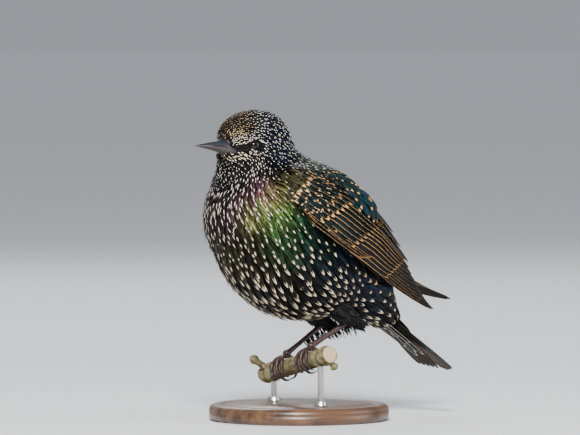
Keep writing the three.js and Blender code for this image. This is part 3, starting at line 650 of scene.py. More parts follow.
class Tract:
    """Feathers gathered for one piece: their middle lines, normals, widths, heights and markings."""

    def __init__(self, name, rows, material, slot, columns=5):
        self.name, self.rows, self.material, self.slot = name, rows, material, slot
        self.along = 1 - (1 - np.linspace(0, 1, rows)) ** 1.45
        self.columns = np.linspace(-1, 1, columns)
        self.parts = []

    def lay(self, centre, normal, half, height, tilt=0.0, cup=0.10, base=0.35, peak=0.45, blunt=3.0,
            taper=0.5, slant=0.0, thick=0.16, mark=NO_MARK, pale=PALE["cream"], gloss=None,
            unwrap=(0.5, 0.5), patch=0.003):
        """Adds feathers. At share s of its length the half width of a vane is
        half * (base rising to 1 at peak) * (1 - s^blunt)^taper. It stands height off its line, is tilted
        across by tilt mm, and its edges sink by cup times its half width. mark holds where the pale tip
        starts, how its arms slant, the pale fringe and the widest spot."""
        count = len(centre)
        s = self.along[None, :]
        w = self.columns
        half, blunt, taper, tilt = (filled(value, count)[:, None] for value in (half, blunt, taper, tilt))
        wide = half * mix(base, 1, smoothstep(0, peak, s)) * np.clip(1 - s**blunt, 0, 1) ** taper
        height = filled(height, count, self.rows)
        along = unit(np.gradient(centre, axis=1))
        side = unit(np.cross(normal, along))
        grow = wide / (half + 1e-9)
        # the edges of the vane trail behind its shaft, as slanting barbs make them
        trail = slant * half[:, :, None] * np.square(w) * (1 - grow[:, :, None])
        raised = height[:, :, None] - cup * np.square(w) * wide[:, :, None] - tilt[:, :, None] * (w + 1) / 2
        top = (centre[:, :, None] + side[:, :, None] * (w * wide[:, :, None])[..., None]
               - along[:, :, None] * trail[..., None] + normal[:, :, None] * raised[..., None])
        sunk = height - thick * (1 - 0.5 * s) - cup * 0.3 * wide - tilt / 2
        under = (centre + normal * sunk[..., None])[:, :, None]
        self.parts.append({
            "ring": np.concatenate([top, under], 2),
            "mark": filled(mark, count, 4),
            "wide": filled(grow, count, self.rows),
            "pale": np.concatenate([filled(pale, count, 3), draw.random((count, 1))], 1),
            "gloss": gloss_at(centre[:, -1]) if gloss is None else filled(gloss, count, 4),
            "unwrap": filled(unwrap, count, 2),
            "patch": filled(patch, count),
        })

    def build(self, *nodes):
        """One mesh of closed vanes: each is a tube of rings with a capped quill and a pointed end."""
        got = {key: np.concatenate([part[key] for part in self.parts]) for key in self.parts[0]}
        ring = got["ring"]
        count, rows, around = ring.shape[:3]
        each = (rows - 1) * around + 1
        tip = ring[:, -1, len(self.columns) // 2]
        points = np.concatenate([ring[:, :-1].reshape(count, -1, 3), tip[:, None]], 1)
        one_quads = grid_quads(rows - 1, around)
        last = (rows - 2) * around
        j = np.arange(around)
        one_tris = np.concatenate([
            np.stack([np.full(around, each - 1), last + j, last + (j + 1) % around], -1),
            np.stack([np.zeros(around - 2, int), 2 + np.arange(around - 2), 1 + np.arange(around - 2)], -1)])
        quad_top = np.tile(j < around - 2, rows - 2)
        tri_top = np.concatenate([j < around - 2, np.zeros(around - 2, bool)])
        shift = (np.arange(count) * each)[:, None, None]
        s = np.concatenate([np.repeat(self.along[:-1], around), [1.0]])
        w = np.concatenate([np.tile(np.append(self.columns, 0.0), rows - 1), [0.0]])
        vane = np.stack([np.tile(s, count), np.tile(w * 0.5 + 0.5, count)], -1)
        grow = np.concatenate([np.repeat(got["wide"][:, :-1], around, 1), np.zeros((count, 1))], 1)
        spot = np.stack([np.abs(w)[None] * grow, grow], -1).reshape(-1, 2)
        spread = np.stack([s - 0.5, w * 0.5], -1)
        bake = got["unwrap"][:, None] + spread[None] * got["patch"][:, None, None]
        piece = make_mesh(
            self.name, points.reshape(-1, 3), (one_quads[None] + shift).reshape(-1, 4),
            (one_tris[None] + shift).reshape(-1, 3), self.material,
            smooth=np.concatenate([np.tile(quad_top, count), np.tile(tri_top, count)]),
            uvs={"vane": vane, "spot": spot, "OFBake": np.clip(bake.reshape(-1, 2), 0.0005, 0.9995)},
            colours={key: np.repeat(got[key], each, 0) for key in ("mark", "pale", "gloss")})
        return on_model(piece, self.slot, *nodes)


# Feathers of the head and body

def fold_phi(phi):
    """Angle from the back's middle line, 0 to pi, alike on both sides."""
    p = np.mod(phi, 2 * np.pi)
    return np.minimum(p, 2 * np.pi - p)


# Length and half width of the feathers by station (rows) and by angle from the back (0, 45, 90, 135 and 180)
LENGTHS = [
    (0, 2.6, 2.6, 2.6, 3.0, 3.4),
    (1, 4.6, 4.4, 3.6, 4.4, 5.6),
    (2, 6.4, 6.0, 4.8, 6.4, 8.4),
    (3, 8.2, 7.6, 6.4, 9.0, 11.0),
    (4, 10.0, 9.4, 9.0, 11.4, 12.8),
    (5, 12.0, 11.6, 11.4, 13.0, 13.8),
    (6, 14.0, 13.8, 13.6, 14.4, 14.6),
    (7, 15.2, 15.2, 15.4, 16.0, 15.6),
    (8, 16.0, 16.6, 17.6, 17.4, 16.4),
    (9, 16.6, 17.4, 18.6, 18.0, 16.6),
    (10, 17.0, 17.4, 17.6, 17.0, 16.4),
    (11, 17.0, 16.6, 16.0, 16.4, 16.8),
    (12, 16.0, 15.6, 15.4, 15.8, 16.6),
]
HALVES = [
    (0, 0.60, 0.60, 0.55, 0.60, 0.60),
    (1, 0.80, 0.80, 0.75, 0.75, 0.75),
    (2, 0.95, 0.95, 0.95, 0.90, 0.90),
    (3, 1.15, 1.15, 1.10, 1.05, 1.00),
    (4, 1.50, 1.45, 1.35, 1.25, 1.15),
    (5, 2.10, 2.00, 1.80, 1.65, 1.55),
    (6, 2.90, 2.80, 2.50, 2.30, 2.20),
    (7, 3.50, 3.40, 3.10, 2.70, 2.50),
    (8, 3.80, 3.80, 3.50, 3.00, 2.80),
    (9, 3.80, 3.90, 3.80, 3.20, 3.00),
    (10, 3.70, 3.70, 3.60, 3.20, 3.00),
    (11, 3.60, 3.50, 3.40, 3.10, 3.10),
    (12, 3.40, 3.30, 3.20, 3.10, 3.20),
]


def over_body(rows, u, phi):
    """Reads one of the tables above at station u and angle phi."""
    table = np.asarray(rows, float)[:, 1:]
    at_u = spline(table, np.clip(u, 0, LAST_STATION))
    column = fold_phi(phi) / (np.pi / 4)
    i = np.clip(np.floor(column).astype(int), 0, 3)
    f = column - i
    index = np.arange(len(at_u))
    return at_u[index, i] * (1 - f) + at_u[index, i + 1] * f


eye_places = np.stack([turn_about_neck(EYE * (1, side, 1), HEAD_TURN) for side in SIDES.values()])
EYE_CLEAR = 3.6


def fineness(place):
    """Feathers grow small round the eyes: a factor for their size."""
    far = np.linalg.norm(place[..., None, :] - eye_places, axis=-1).min(-1)
    return 1 - 0.48 * np.exp(-np.square(far / 6.5))


def scatter_roots(candidates, closeness):
    """Roots spread evenly by thinning: seeded chances on the surface, each keeping its neighbours off by
    closeness times its half width."""
    cell = np.linalg.norm(np.cross(np.gradient(body_grid, axis=0), (np.roll(body_grid, -1, 1)
                                                                    - np.roll(body_grid, 1, 1)) / 2), axis=-1)
    room = over_body(HALVES, grid_u.ravel(), grid_phi.ravel()).reshape(cell.shape) * fineness(body_grid)
    share = (cell / np.square(room)).ravel()
    picks = draw.choice(share.size, candidates, p=share / share.sum())
    u = np.clip(grid_u.ravel()[picks] + draw.uniform(-0.5, 0.5, candidates) * LAST_STATION / (BODY_ROWS - 1),
                0.03, LAST_STATION - 0.25)
    phi = grid_phi.ravel()[picks] + draw.uniform(-0.5, 0.5, candidates) * 2 * np.pi / BODY_AROUND
    place, _ = on_body(u, phi)
    keep_off = over_body(HALVES, u, phi) * fineness(place) * closeness
    tree = kdtree.KDTree(candidates)
    for i, p in enumerate(place):
        tree.insert(p, i)
    tree.balance()
    left = np.ones(candidates, bool)
    chosen = []
    for i in range(candidates):
        if not left[i]:
            continue
        chosen.append(i)
        for _, k, _ in tree.find_range(place[i], keep_off[i]):
            left[k] = False
    return u[chosen], phi[chosen]


def pace_along(u, phi):
    """Millimetres of surface for one station onwards."""
    step = 0.06
    return np.linalg.norm(on_body(u + step, phi)[0] - on_body(u - step, phi)[0], axis=-1) / (2 * step)


def paths_on_body(u, phi, length, swing, along):
    """Middle lines that run towards the tail on the surface, swinging aside by swing radians of angle."""
    pace = pace_along(u, phi)
    for _ in range(2):
        pace = (pace + pace_along(u + 0.5 * length / pace, phi)) / 2
    us = u[:, None] + along[None, :] * (length / pace)[:, None]
    phis = phi[:, None] + swing[:, None] * np.square(along)[None, :]
    place, normal = on_body(us, phis)
    return place, normal, read_grid(lift_grid, us, phis)[..., 0]


def clear_of_eyes(u, phi, length, swing, along):
    """Shortens feathers that would cross an eye and drops those rooted in one."""
    ok = np.zeros(len(u), bool)
    best = length.copy()
    for share in (1.0, 0.75, 0.55, 0.4, 0.28):
        line = paths_on_body(u, phi, length * share, swing, along)[0]
        far = np.linalg.norm(line[:, :, None] - eye_places, axis=-1).min((1, 2))
        take = ~ok & (far > EYE_CLEAR)
        best[take] = (length * share)[take]
        ok |= take
    return ok, best


def wing_cover():
    """On a coarse grid over the body: how far the wings stand out, and the wing's own a and b above."""
    rows, around = 81, 96
    u, phi = body_stations(rows, around)
    place, normal = on_body(u, phi)
    a, b = np.meshgrid(np.linspace(-0.03, 0.8, 60), np.linspace(0.0, 1.0, 22), indexing="ij")
    a, b = a.ravel(), b.ravel()
    lift = np.zeros((rows, around))
    spot = np.full((rows, around, 2), -1.0)
    for name in WINGS:
        sheet, _ = wing_sheet(name, a, b)
        for i in range(rows):
            to_sheet = sheet[None] - place[i][:, None]
            out = np.einsum("ijk,ik->ij", to_sheet, normal[i])
            aside = np.square(to_sheet).sum(-1) - np.square(out)
            value = np.where((aside < 5.0) & (out > -2) & (out < 12), out, -1)
            best = value.argmax(1)
            height = np.take_along_axis(value, best[:, None], 1)[:, 0]
            found = height > lift[i]
            lift[i][found] = height[found]
            spot[i][found] = np.stack([a[best], b[best]], -1)[found]
    return lift, spot


COVER_RISE = 4.4  # how far the topmost wing coverts stand above the wing's sheet


def smoothed(grid, times):
    """Averages each value with its neighbours, over and over."""
    for _ in range(times):
        grid = (np.roll(grid, 1, 1) + 2 * grid + np.roll(grid, -1, 1)) / 4
        grid = np.concatenate([grid[:1], (grid[:-2] + 2 * grid[1:-1] + grid[2:]) / 4, grid[-1:]])
    return grid


def widened(grid):
    """The largest value among each place and its neighbours."""
    grid = np.maximum(grid, np.maximum(np.roll(grid, 1, 1), np.roll(grid, -1, 1)))
    return np.maximum(grid, np.concatenate([grid[1:], grid[-1:]]))


raw_lift, wing_spots = wing_cover()
cover_a, cover_b = np.moveaxis(wing_spots, -1, 0)
over_shoulder = ((cover_b > 0.50) & (cover_a < 0.50)) | (np.abs(cover_a) < 0.05)
shoulder_lift = np.where((raw_lift > 0) & over_shoulder, np.minimum(raw_lift, 6) + COVER_RISE, 0)
lift_grid = smoothed(widened(shoulder_lift), 5)[..., None]


def at_nearest(grid, u, phi):
    rows, around = grid.shape[:2]
    i = np.clip(np.rint(u / LAST_STATION * (rows - 1)).astype(int), 0, rows - 1)
    j = np.rint(np.mod(phi / (2 * np.pi), 1) * around).astype(int) % around
    return grid[i, j]


def hidden_by_wing(u, phi):
    """True under a wing, apart from the shoulder and its front edge, which feathers of the body cover."""
    a, b = at_nearest(wing_spots, u, phi).T
    return (a > 0.03) & (b > 0.16) & (b < 0.92) & ~((b > 0.60) & (a < 0.44))


BILL_BASE = -44
BILL_LENGTH = 28.4
# Share of the length, heights of ridge, mouth line and keel, half width
BILL_SHAPE = [
    (0, 121.2, 113.0, 111.0, 8.0),
    (0.12, 121.2, 113.0, 111.0, 8.0),
    (0.22, 121.0, 113.5, 111.2, 7.8),
    (0.29, 120.8, 115.0, 111.7, 6.5),
    (0.36, 120.6, 116.2, 112.4, 4.8),
    (0.5, 119.9, 116.9, 113.8, 3.4),
    (0.75, 118.9, 117.2, 115.4, 2.1),
    (0.93, 118.0, 117.2, 116.4, 1.1),
    (1, 117.6, 117.15, 116.8, 0.45),
]
GAPE_END = -50.6  # how far back the corner of the gape lies bare


def bill_footprint(local):
    """True where the horn of the bill stands bare."""
    x, y, z = local.T
    shape = np.array(BILL_SHAPE)
    share = np.clip((BILL_BASE - x) / BILL_LENGTH, 0, 1)
    ridge, mouth, keel, half = (np.interp(share, shape[:, 0], shape[:, k]) for k in range(1, 5))
    rise = np.where(z > mouth, (z - mouth) / (ridge - mouth), (mouth - z) / (mouth - keel))
    back = GAPE_END - 4.2 * np.clip((z - 114) / 6, 0, 1) - np.clip(113.5 - z, 0, 3)
    return (x < back) & (rise < 1.02) & (np.abs(y) < half * np.sqrt(np.clip(1.1 - rise**2, 0.02, 1)) + 1.0)


def markings(u, phi, place):
    """Pale tip of each feather by part of the body: mark values and colour."""
    back = fold_phi(phi) / np.pi
    count = len(u)
    local = turn_about_neck(place, -HEAD_TURN)
    head = 1 - smoothstep(3.0, 4.6, u)
    crown = head * (1 - smoothstep(0.30, 0.40, back))
    front = crown * (1 - smoothstep(0.9, 2.0, u))
    throat = smoothstep(0.58, 0.72, back) * (1 - smoothstep(4.6, 6.4, u))
    cheek = head * (1 - crown) * (1 - throat)
    mantle = smoothstep(4.2, 5.4, u) * (1 - smoothstep(0.34, 0.44, back))
    belly = smoothstep(5.6, 7.6, u) * smoothstep(0.42, 0.55, back)
    low_belly = belly * smoothstep(0.62, 0.8, back)
    vent = smoothstep(10.2, 11.2, u) * smoothstep(0.5, 0.65, back)

    def by_part(rest, **values):
        shares = {"crown": crown, "cheek": cheek, "throat": throat, "mantle": mantle, "belly": belly,
                  "low_belly": low_belly, "vent": vent}
        value = np.full(count, float(rest))
        for part, wanted in values.items():
            value = mix(value, wanted, shares[part])
        return value

    start = by_part(0.84, crown=0.75, cheek=0.80, throat=0.76, mantle=0.87, belly=0.86, low_belly=0.83,
                    vent=0.86)
    arm = by_part(0.0, crown=-0.1, throat=-0.15, mantle=0.05, belly=0.34, low_belly=0.40, vent=0.36)
    widest = by_part(0.30, crown=0.21, cheek=0.34, throat=0.31, mantle=0.36, belly=0.42, low_belly=0.46,
                     vent=0.6)
    start = start + draw.normal(0, 0.02, count)
    colour = filled(PALE["cream"], count, 3)
    for share, key in ((head, "white"), (throat, "white"), (mantle, "buff"), (front, "gold"), (vent, "grey")):
        colour = mix(colour, np.array(PALE[key]), share[:, None])
    # the brow, the moustache and the chin are closely streaked with cream, the lores between them stay black
    eye_level = EYE[2]
    x, z = local[:, 0], local[:, 2]
    face = (1 - smoothstep(-46, -40, x)) * (np.abs(z - eye_level) < 9)
    around_eye = np.exp(-np.square(np.linalg.norm(local[:, [0, 2]] - EYE[[0, 2]], axis=1) / 7.0))
    moustache = np.exp(-np.square((z - 111.5 - 0.15 * (x + 46)) / 2.6)) * (1 - smoothstep(-42, -30, x))
    streaked = np.clip(face * 0.5 + around_eye * 0.35 + moustache * 0.5, 0, 0.85)
    start = mix(start, 0.42, streaked)
    widest = mix(widest, 0.44, streaked)
    olive = mix(np.array(PALE["cream"]), np.array(PALE["gold"]), 0.25)
    colour = mix(colour, olive, (streaked * 0.9)[:, None])
    # just behind the lids the pale starts right at the root
    eye_far = np.linalg.norm(np.stack([x, np.abs(local[:, 1]), z], -1) - EYE, axis=1)
    behind_eye = smoothstep(EYE[0] + 1, EYE[0] + 3, x) * (1 - smoothstep(eye_level + 0.5, eye_level + 2.5, z))
    start = mix(start, 0.2, np.exp(-np.power(eye_far / 6.8, 6)) * behind_eye)
    stripe = np.interp(x, [-54, -48, -41], [0.8, 1.7, 2.4])
    lores = (np.abs(z - 115.8) < stripe) & (x < EYE[0] - 1.0) & (x > -54)
    start = np.where(lores, 1.4, start)
    return np.stack([start, arm, np.full(count, -0.2), widest], -1), colour


def looseness(u, phi):
    """1 where the plumage is loose and hair-like, 0 on the head and the sleek back."""
    return smoothstep(4.0, 5.6, u) * smoothstep(0.36, 0.48, fold_phi(phi) / np.pi)


def body_unwrap(u, phi):
    """A place in the bake map for a station and an angle."""
    return np.stack([u / LAST_STATION, np.mod(phi / (2 * np.pi), 1)], -1) * 0.98 + 0.01


# Pieces of the coat: name, first and last station, rings of each vane, material, slot
COAT_PIECES = [
    ("coat_face", 0, 1.6, 6, fine_plumage, "spotted_head"),
    ("coat_nape", 1.6, 3.6, 7, fine_plumage, "spotted_head"),
    ("coat_throat", 3.6, 5.2, 7, fine_plumage, "spotted_head"),
    ("coat_mantle", 5.2, LAST_STATION, 8, sleek_plumage, "plumage"),
    ("coat_breast", 5.2, 7.2, 8, soft_plumage, "plumage"),
    ("coat_flank", 7.2, 9.0, 8, soft_plumage, "plumage"),
    ("coat_vent", 9.0, LAST_STATION, 8, soft_plumage, "plumage"),
]
BACK_EDGE = 0.40 * np.pi  # the angle where the sleek mantle meets the breast and flanks
ROOT_DEPTH = -1.9


def size_of(length):
    """A feather's length as a share of a breast feather's, kept between 0.3 and 1."""
    return np.clip(length / 12, 0.3, 1)


def coat_piece(tract, at, roots, tip_height, **looks):
    """Builds the chosen feathers of the coat; each rises from below the surface to its tip height."""
    u, phi, length, half, swing = (values[at] for values in roots)
    line, normal, lift = paths_on_body(u, phi, length, swing, tract.along)
    root_height = ROOT_DEPTH * size_of(length)[:, None]
    height = lift + mix(root_height, tip_height[at, None], smoothstep(0, 0.8, tract.along)[None, :])
    tract.lay(line, normal, half, height, unwrap=body_unwrap(u, phi), thick=0.12, **looks)
    tract.build()


def dress_body():
    """Feathers over the head and body, which climb over the wings' upper and front edges."""
    u, phi = scatter_roots(candidates=110000, closeness=1.45)
    place, _ = on_body(u, phi)
    loose = looseness(u, phi)
    length = over_body(LENGTHS, u, phi) * fineness(place) * draw.uniform(0.88, 1.12, len(u))
    half = over_body(HALVES, u, phi) * fineness(place) * draw.uniform(0.92, 1.1, len(u)) * mix(1, 0.62, loose)
    swing = draw.normal(0, 0.03, len(u))
    ok, length = clear_of_eyes(u, phi, length, swing, np.linspace(0, 1, 7))
    tips, _ = on_body(u + length / pace_along(u, phi), phi)
    ok &= ~hidden_by_wing(u, phi)
    ok &= ~bill_footprint(turn_about_neck(place, -HEAD_TURN))
    u, phi, length, half, swing, tips = (v[ok] for v in (u, phi, length, half, swing, tips))
    mark, pale = markings(u, phi, tips)
    pointed = 1 - smoothstep(4.6, 6.6, u)
    blunt = mix(3.0, 1.5, pointed)
    taper = mix(0.6, 0.8, pointed)
    fluff = mix(0.6, 1.6, smoothstep(0.5, 0.8, fold_phi(phi) / np.pi)) * draw.random(len(u))
    tip_height = 0.35 + 0.75 * fluff * size_of(length)
    for name, low, high, rows, material, slot in COAT_PIECES:
        at = (u >= low) & (u < high)
        if slot == "plumage":
            at &= (fold_phi(phi) < BACK_EDGE) == (name == "coat_mantle")
        coat_piece(Tract(name, rows, material, slot), at, (u, phi, length, half, swing), tip_height,
                   cup=0.16, base=0.45, peak=0.5, slant=0.3, blunt=blunt[at], taper=taper[at],
                   mark=mark[at], pale=pale[at])


def dress_loose():
    """Narrow plain feathers between the spotted ones of throat, breast and flanks, which fray the coat."""
    u, phi = scatter_roots(candidates=160000, closeness=0.62)
    ok = (looseness(u, phi) > draw.uniform(0, 0.6, len(u))) & ~hidden_by_wing(u, phi)
    u, phi = u[ok], phi[ok]
    count = len(u)
    length = over_body(LENGTHS, u, phi) * draw.uniform(0.7, 1.1, count)
    half = over_body(HALVES, u, phi) * draw.uniform(0.22, 0.40, count)
    swing = draw.normal(0, 0.05, count)
    tip_height = draw.uniform(0.0, 0.55, count)
    front = u < 6.9
    for name, at in (("coat_loose_breast", front), ("coat_loose_flank", ~front)):
        coat_piece(Tract(name, 7, soft_plumage, "plumage", columns=3), at, (u, phi, length, half, swing),
                   tip_height, cup=0.3, base=0.5, peak=0.4, blunt=1.4, taper=0.8)


def make_skin():
    """One closed skin inside the plumage, from the bill's base to the tail, with its own unwrap."""
    u, phi = body_stations(120, 96, 0.02, LAST_STATION - 0.05)
    # the cover is thin on the face and thicker on the body
    depth = mix(0.7, COAT_DEPTH, smoothstep(0.4, 3, u))
    points, quads, tris = facing_out(*closed_tube(body_point(u, phi, -depth)))
    u = np.append(u.ravel(), [0, LAST_STATION])
    phi = np.append(phi.ravel(), [0, 0])
    mark, pale = markings(u, phi, points)
    share = np.clip((1 - mark[:, 0]) * 1.2, 0, 1)
    skin = make_mesh("skin", points, quads, tris, down, uvs={"OFBake": body_unwrap(u, phi)},
                     colours={"gloss": gloss_at(points), "pale": np.concatenate([pale, share[:, None]], 1)})
    return on_model(skin, "plumage", "head", "neck", "torso")


# Wings

def wing_tier(tract, name, count, root, tip, half, lift, tilt, mark, pale, gloss, blunt, bake_row, patch=0.05,
              low=-1.0, jitter=0.0):
    """A row of feathers on the wing's sheet. root, tip, half and lift each run from the lowest feather's
    value to the highest's; every feather rises from low to its lift."""
    s = np.linspace(0, 1, count)[:, None]
    along = tract.along[None, :]
    ends = [mix(np.asarray(pair[0], float), np.asarray(pair[1], float), s) for pair in (root, tip)]
    if jitter:
        ends[1] = ends[1] + draw.normal(0, jitter, ends[1].shape)
    a = mix(ends[0][:, :1], ends[1][:, :1], along)
    b = mix(ends[0][:, 1:], ends[1][:, 1:], along)
    line, normal = wing_sheet(name, a, b)
    height = mix(low, mix(lift[0], lift[1], s), smoothstep(0, 0.5, along))
    unwrap = np.stack([0.03 + 0.94 * s[:, 0], filled(0.04 + bake_row, count)], -1)
    tract.lay(line, normal, mix(half[0], half[1], s[:, 0]), height, tilt=tilt, cup=0.08, base=0.5, peak=0.3,
              blunt=blunt, mark=mark, pale=pale, gloss=gloss, unwrap=unwrap, patch=patch, thick=0.2)


# Rows of the wing from the flight feathers inwards: count, roots and tips (a and b on the sheet, for the
# lowest and the highest feather), half widths, heights, tilt, mark, gloss, bluntness
WING_ROWS = [
    (9, ((0.38, 0.10), (0.40, 0.34)), ((1.0, 0.30), (0.78, 0.66)), (4.0, 4.6), (-2.6, 1.4),
     0.5, (0.985, 0.0, 0.09, WHOLE), DARK_FLIGHT, 2.6),
    (9, ((0.34, 0.08), (0.34, 0.60)), ((0.64, 0.10), (0.75, 0.70)), (4.2, 4.7), (1.8, 2.2),
     1.8, (0.965, 0.0, 0.13, WHOLE), GLOSSY_FLIGHT, 5.0),
    (3, ((0.28, 0.66), (0.28, 0.88)), ((0.78, 0.77), (0.64, 0.92)), (5.0, 5.4), (2.0, 3.2),
     0.8, (0.96, 0.0, 0.11, WHOLE), GLOSSY_FLIGHT, 4.5),
    (5, ((0.12, 0.0), (0.14, 0.14)), ((0.46, -0.01), (0.52, 0.13)), (2.2, 2.6), (1.6, 2.3),
     1.2, (0.95, 0.0, 0.14, WHOLE), GLOSSY_FLIGHT, 3.5),
    (3, ((0.02, 0.0), (0.05, 0.12)), ((0.24, -0.03), (0.30, 0.07)), (2.0, 2.3), (2.6, 3.4),
     1.0, (0.93, 0.0, 0.14, WHOLE), COVERT_GLOSS, 3.0),
    (11, ((0.14, 0.12), (0.16, 0.80)), ((0.41, 0.07), (0.54, 0.80)), (2.9, 3.4), (3.0, 3.4),
     1.8, (0.93, 0.03, 0.14, WHOLE), COVERT_GLOSS, 4.5),
    (11, ((0.06, 0.10), (0.12, 0.84)), ((0.22, 0.06), (0.38, 0.86)), (2.5, 2.9), (3.8, 4.2),
     1.4, (0.88, 0.05, 0.14, WHOLE), COVERT_GLOSS, 3.6),
]
SHOULDER_ROWS = 8


def dress_wing(name):
    tract = Tract(f"feathers_wing_{name}", 12, firm_plumage, "flight_feathers", columns=7)
    for index, (count, root, tip, half, lift, tilt, mark, gloss, blunt) in enumerate(WING_ROWS):
        # painted shade: the primaries of the far wing get brown fringes where the near wing's are buff
        far_primaries_in_painted_shade = index == 0 and name == "right"
        pale = PALE["brown" if far_primaries_in_painted_shade else "buff"]
        bake_row = 0.06 + 0.08 * index
        wing_tier(tract, name, count, root, tip, half, lift, tilt, mark, pale, gloss, blunt, bake_row)
    for row in range(SHOULDER_ROWS):
        a = -0.02 + 0.028 * row
        shift = 0.045 * (row % 2)
        root = ((a - 0.07, 0.08 + shift), (a - 0.05, 0.90 + shift))
        tip = ((a + 0.02, shift), (a + 0.12, 0.84 + shift))
        lift = (5.1 - 0.1 * row, 5.3 - 0.1 * row)
        # the first two rows spring from the body and are more golden
        front = row < 2
        mark = (0.78 if front else 0.88, 0.12, 0.03 + 0.05 * (row % 3), 0.8)
        pale = mix(np.array(PALE["buff"]), np.array(PALE["cream"]), 0.1 + 0.4 * (row % 2))
        gloss = mix(np.array(SHOULDER_GLOSS), np.array(COVERT_GLOSS), smoothstep(-1, 3, row))
        bake_row = 0.60 + 0.04 * row
        wing_tier(tract, name, 10, root, tip, (1.5, 2.0), lift, 0.8, mark, pale, gloss, 1.9, bake_row,
                  patch=0.03, low=-5.0 if front else 2.4, jitter=0.016)
    tract.build(f"wing_{name}")
    wing_core(name)


def wing_core(name):
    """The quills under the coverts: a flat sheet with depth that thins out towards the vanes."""
    a, b = np.meshgrid(np.linspace(-0.03, 0.6, 24), np.linspace(0.0, 1.0, 12), indexing="ij")
    start = np.sqrt(1 - np.square(1 - np.minimum((a + 0.04) / 0.14, 1)))
    spread = mix(0.5, b, start)
    place, out = wing_sheet(name, a, spread)
    taper = (1 - smoothstep(0.42, 0.6, a)) * start
    rise = mix(-0.9, 0.9, np.sqrt(np.sin(np.pi * mix(0.06, 0.94, b))) * taper)
    top = place + out * rise[..., None]
    bottom = place + out * (rise - 0.7 - 2.2 * taper)[..., None]
    shape = facing_out(*closed_tube(np.concatenate([top, bottom[:, ::-1]], 1)))
    spread_a = np.append(np.tile(a, 2).ravel(), [0, 0.6])
    unwrap = np.clip(np.stack([spread_a, filled(0.5, len(spread_a))], -1), 0.01, 0.99)
    return dark_core(f"wing_core_{name}", shape, "flight_feathers", gloss=GLOSSY_FLIGHT, unwrap=unwrap)


# Tail

def turned_tail(x, y, z):
    c, s = math.cos(TAIL_TURN), math.sin(TAIL_TURN)
    return np.array([x * c - y * s, x * s + y * c, z])


tail_along = turned_tail(math.cos(TAIL_PITCH), 0, -math.sin(TAIL_PITCH))
tail_up = turned_tail(math.sin(TAIL_PITCH), 0, math.cos(TAIL_PITCH))
tail_across = turned_tail(0, 1, 0)
STEM_HEIGHT = -3.2
TAIL_FEATHER_ROOT = 9
# Rows of tail coverts: over or under the tail, count, length, height in the stack
TAIL_COVERTS = [(True, 8, 28, 2.6), (True, 7, 20, 3.4), (False, 4, 41, -6.4), (False, 5, 32, -7.4),
                (False, 4, 23, -8.4)]


def tail_row(tract, start, angle, length, half, height, droop, mark, pale, gloss, blunt, bake_row):
    """Feathers fanned in the tail's plane, rising from the stem to their own heights in the stack."""
    count = len(angle)
    angle, length, height = (filled(value, count)[:, None] for value in (angle, length, height))
    along = tract.along[None, :]
    reach = start + length * along
    risen = mix(mix(STEM_HEIGHT, height, 0.4), height, smoothstep(0, 0.35, along)) - droop * np.square(along)
    backward = tail_along * (reach * np.cos(angle))[..., None]
    sideways = tail_across * (reach * np.sin(angle))[..., None]
    line = TAIL_ROOT + backward + sideways
    unwrap = np.stack([np.linspace(0.05, 0.95, count), filled(bake_row, count)], -1)
    tract.lay(line, filled(tail_up, *line.shape), half, risen, cup=0.05, base=0.45, peak=0.45, blunt=blunt,
              mark=mark, pale=pale, gloss=gloss, unwrap=unwrap, patch=0.05, thick=0.22)


def dress_tail():
    tract = Tract("feathers_tail", 12, firm_plumage, "flight_feathers", columns=7)
    middle = (TAIL_FEATHERS - 1) / 2
    place = np.arange(TAIL_FEATHERS) - middle
    rank = np.abs(place) - 0.5
    right = place > 0
    stack = np.where(rank == 0, np.where(right, 0.5, -0.5), -(rank + np.where(right, 0.5, 1.4)))
    lengths = TAIL_LENGTH - TAIL_FEATHER_ROOT - 0.5 * rank
    tail_row(tract, TAIL_FEATHER_ROOT, TAIL_FAN * place / middle, lengths, 4.9, stack * VANE_STEP, 0.0,
             (0.985, 0.0, 0.07, WHOLE), PALE["buff"], DARK_FLIGHT, 5.0, 0.1)
    for over, count, length, level in TAIL_COVERTS:
        spot = np.arange(count) - (count - 1) / 2
        depth = VANE_STEP * 1.2 * np.abs(spot) + 0.3 * (spot > 0)
        wobble = 0.02 * np.sin(spot * 5 + length)
        lengths = length - 1.2 * np.abs(spot) + 2 * np.sin(spot * 3)
        if over:
            fan, half, height, droop, bake_row = 0.19, 3.4, level - depth, 1.0, 0.4
            mark, pale, gloss = (0.93, 0.05, 0.14, WHOLE), PALE["buff"], (0.010, 0.018, 0.026, 0.5)
        else:
            fan, half, height, droop, bake_row = 0.36, 5.0, level + depth, -1.0, 0.3
            mark, pale, gloss = (0.95, 0.06, 0.20, WHOLE), PALE["pale_grey"], (0.005, 0.005, 0.006, 0.2)
        tail_row(tract, 4, TAIL_FAN * fan * spot + wobble, lengths, half, height, droop, mark, pale,
                 gloss, 3.0, bake_row + count * 0.02)
    tract.build("tail")


def tail_stem():
    """The fleshy base that the tail feathers spring from, and the end of the body."""
    angle = full_turn(24)
    reach = np.linspace(-1, 1, 14)
    radius = np.sqrt(1 - np.square(reach * 0.995))
    centre = TAIL_ROOT + tail_along * (9 + reach * 14)[:, None] + tail_up * STEM_HEIGHT
    rings = (centre[:, None] + tail_across * (7.2 * radius[:, None] * np.cos(angle))[..., None]
             + tail_up * (5.4 * radius[:, None] * np.sin(angle))[..., None])
    return dark_core("tail_stem", facing_out(*closed_tube(rings)), "flight_feathers")


# Bill

GAP = 0.3


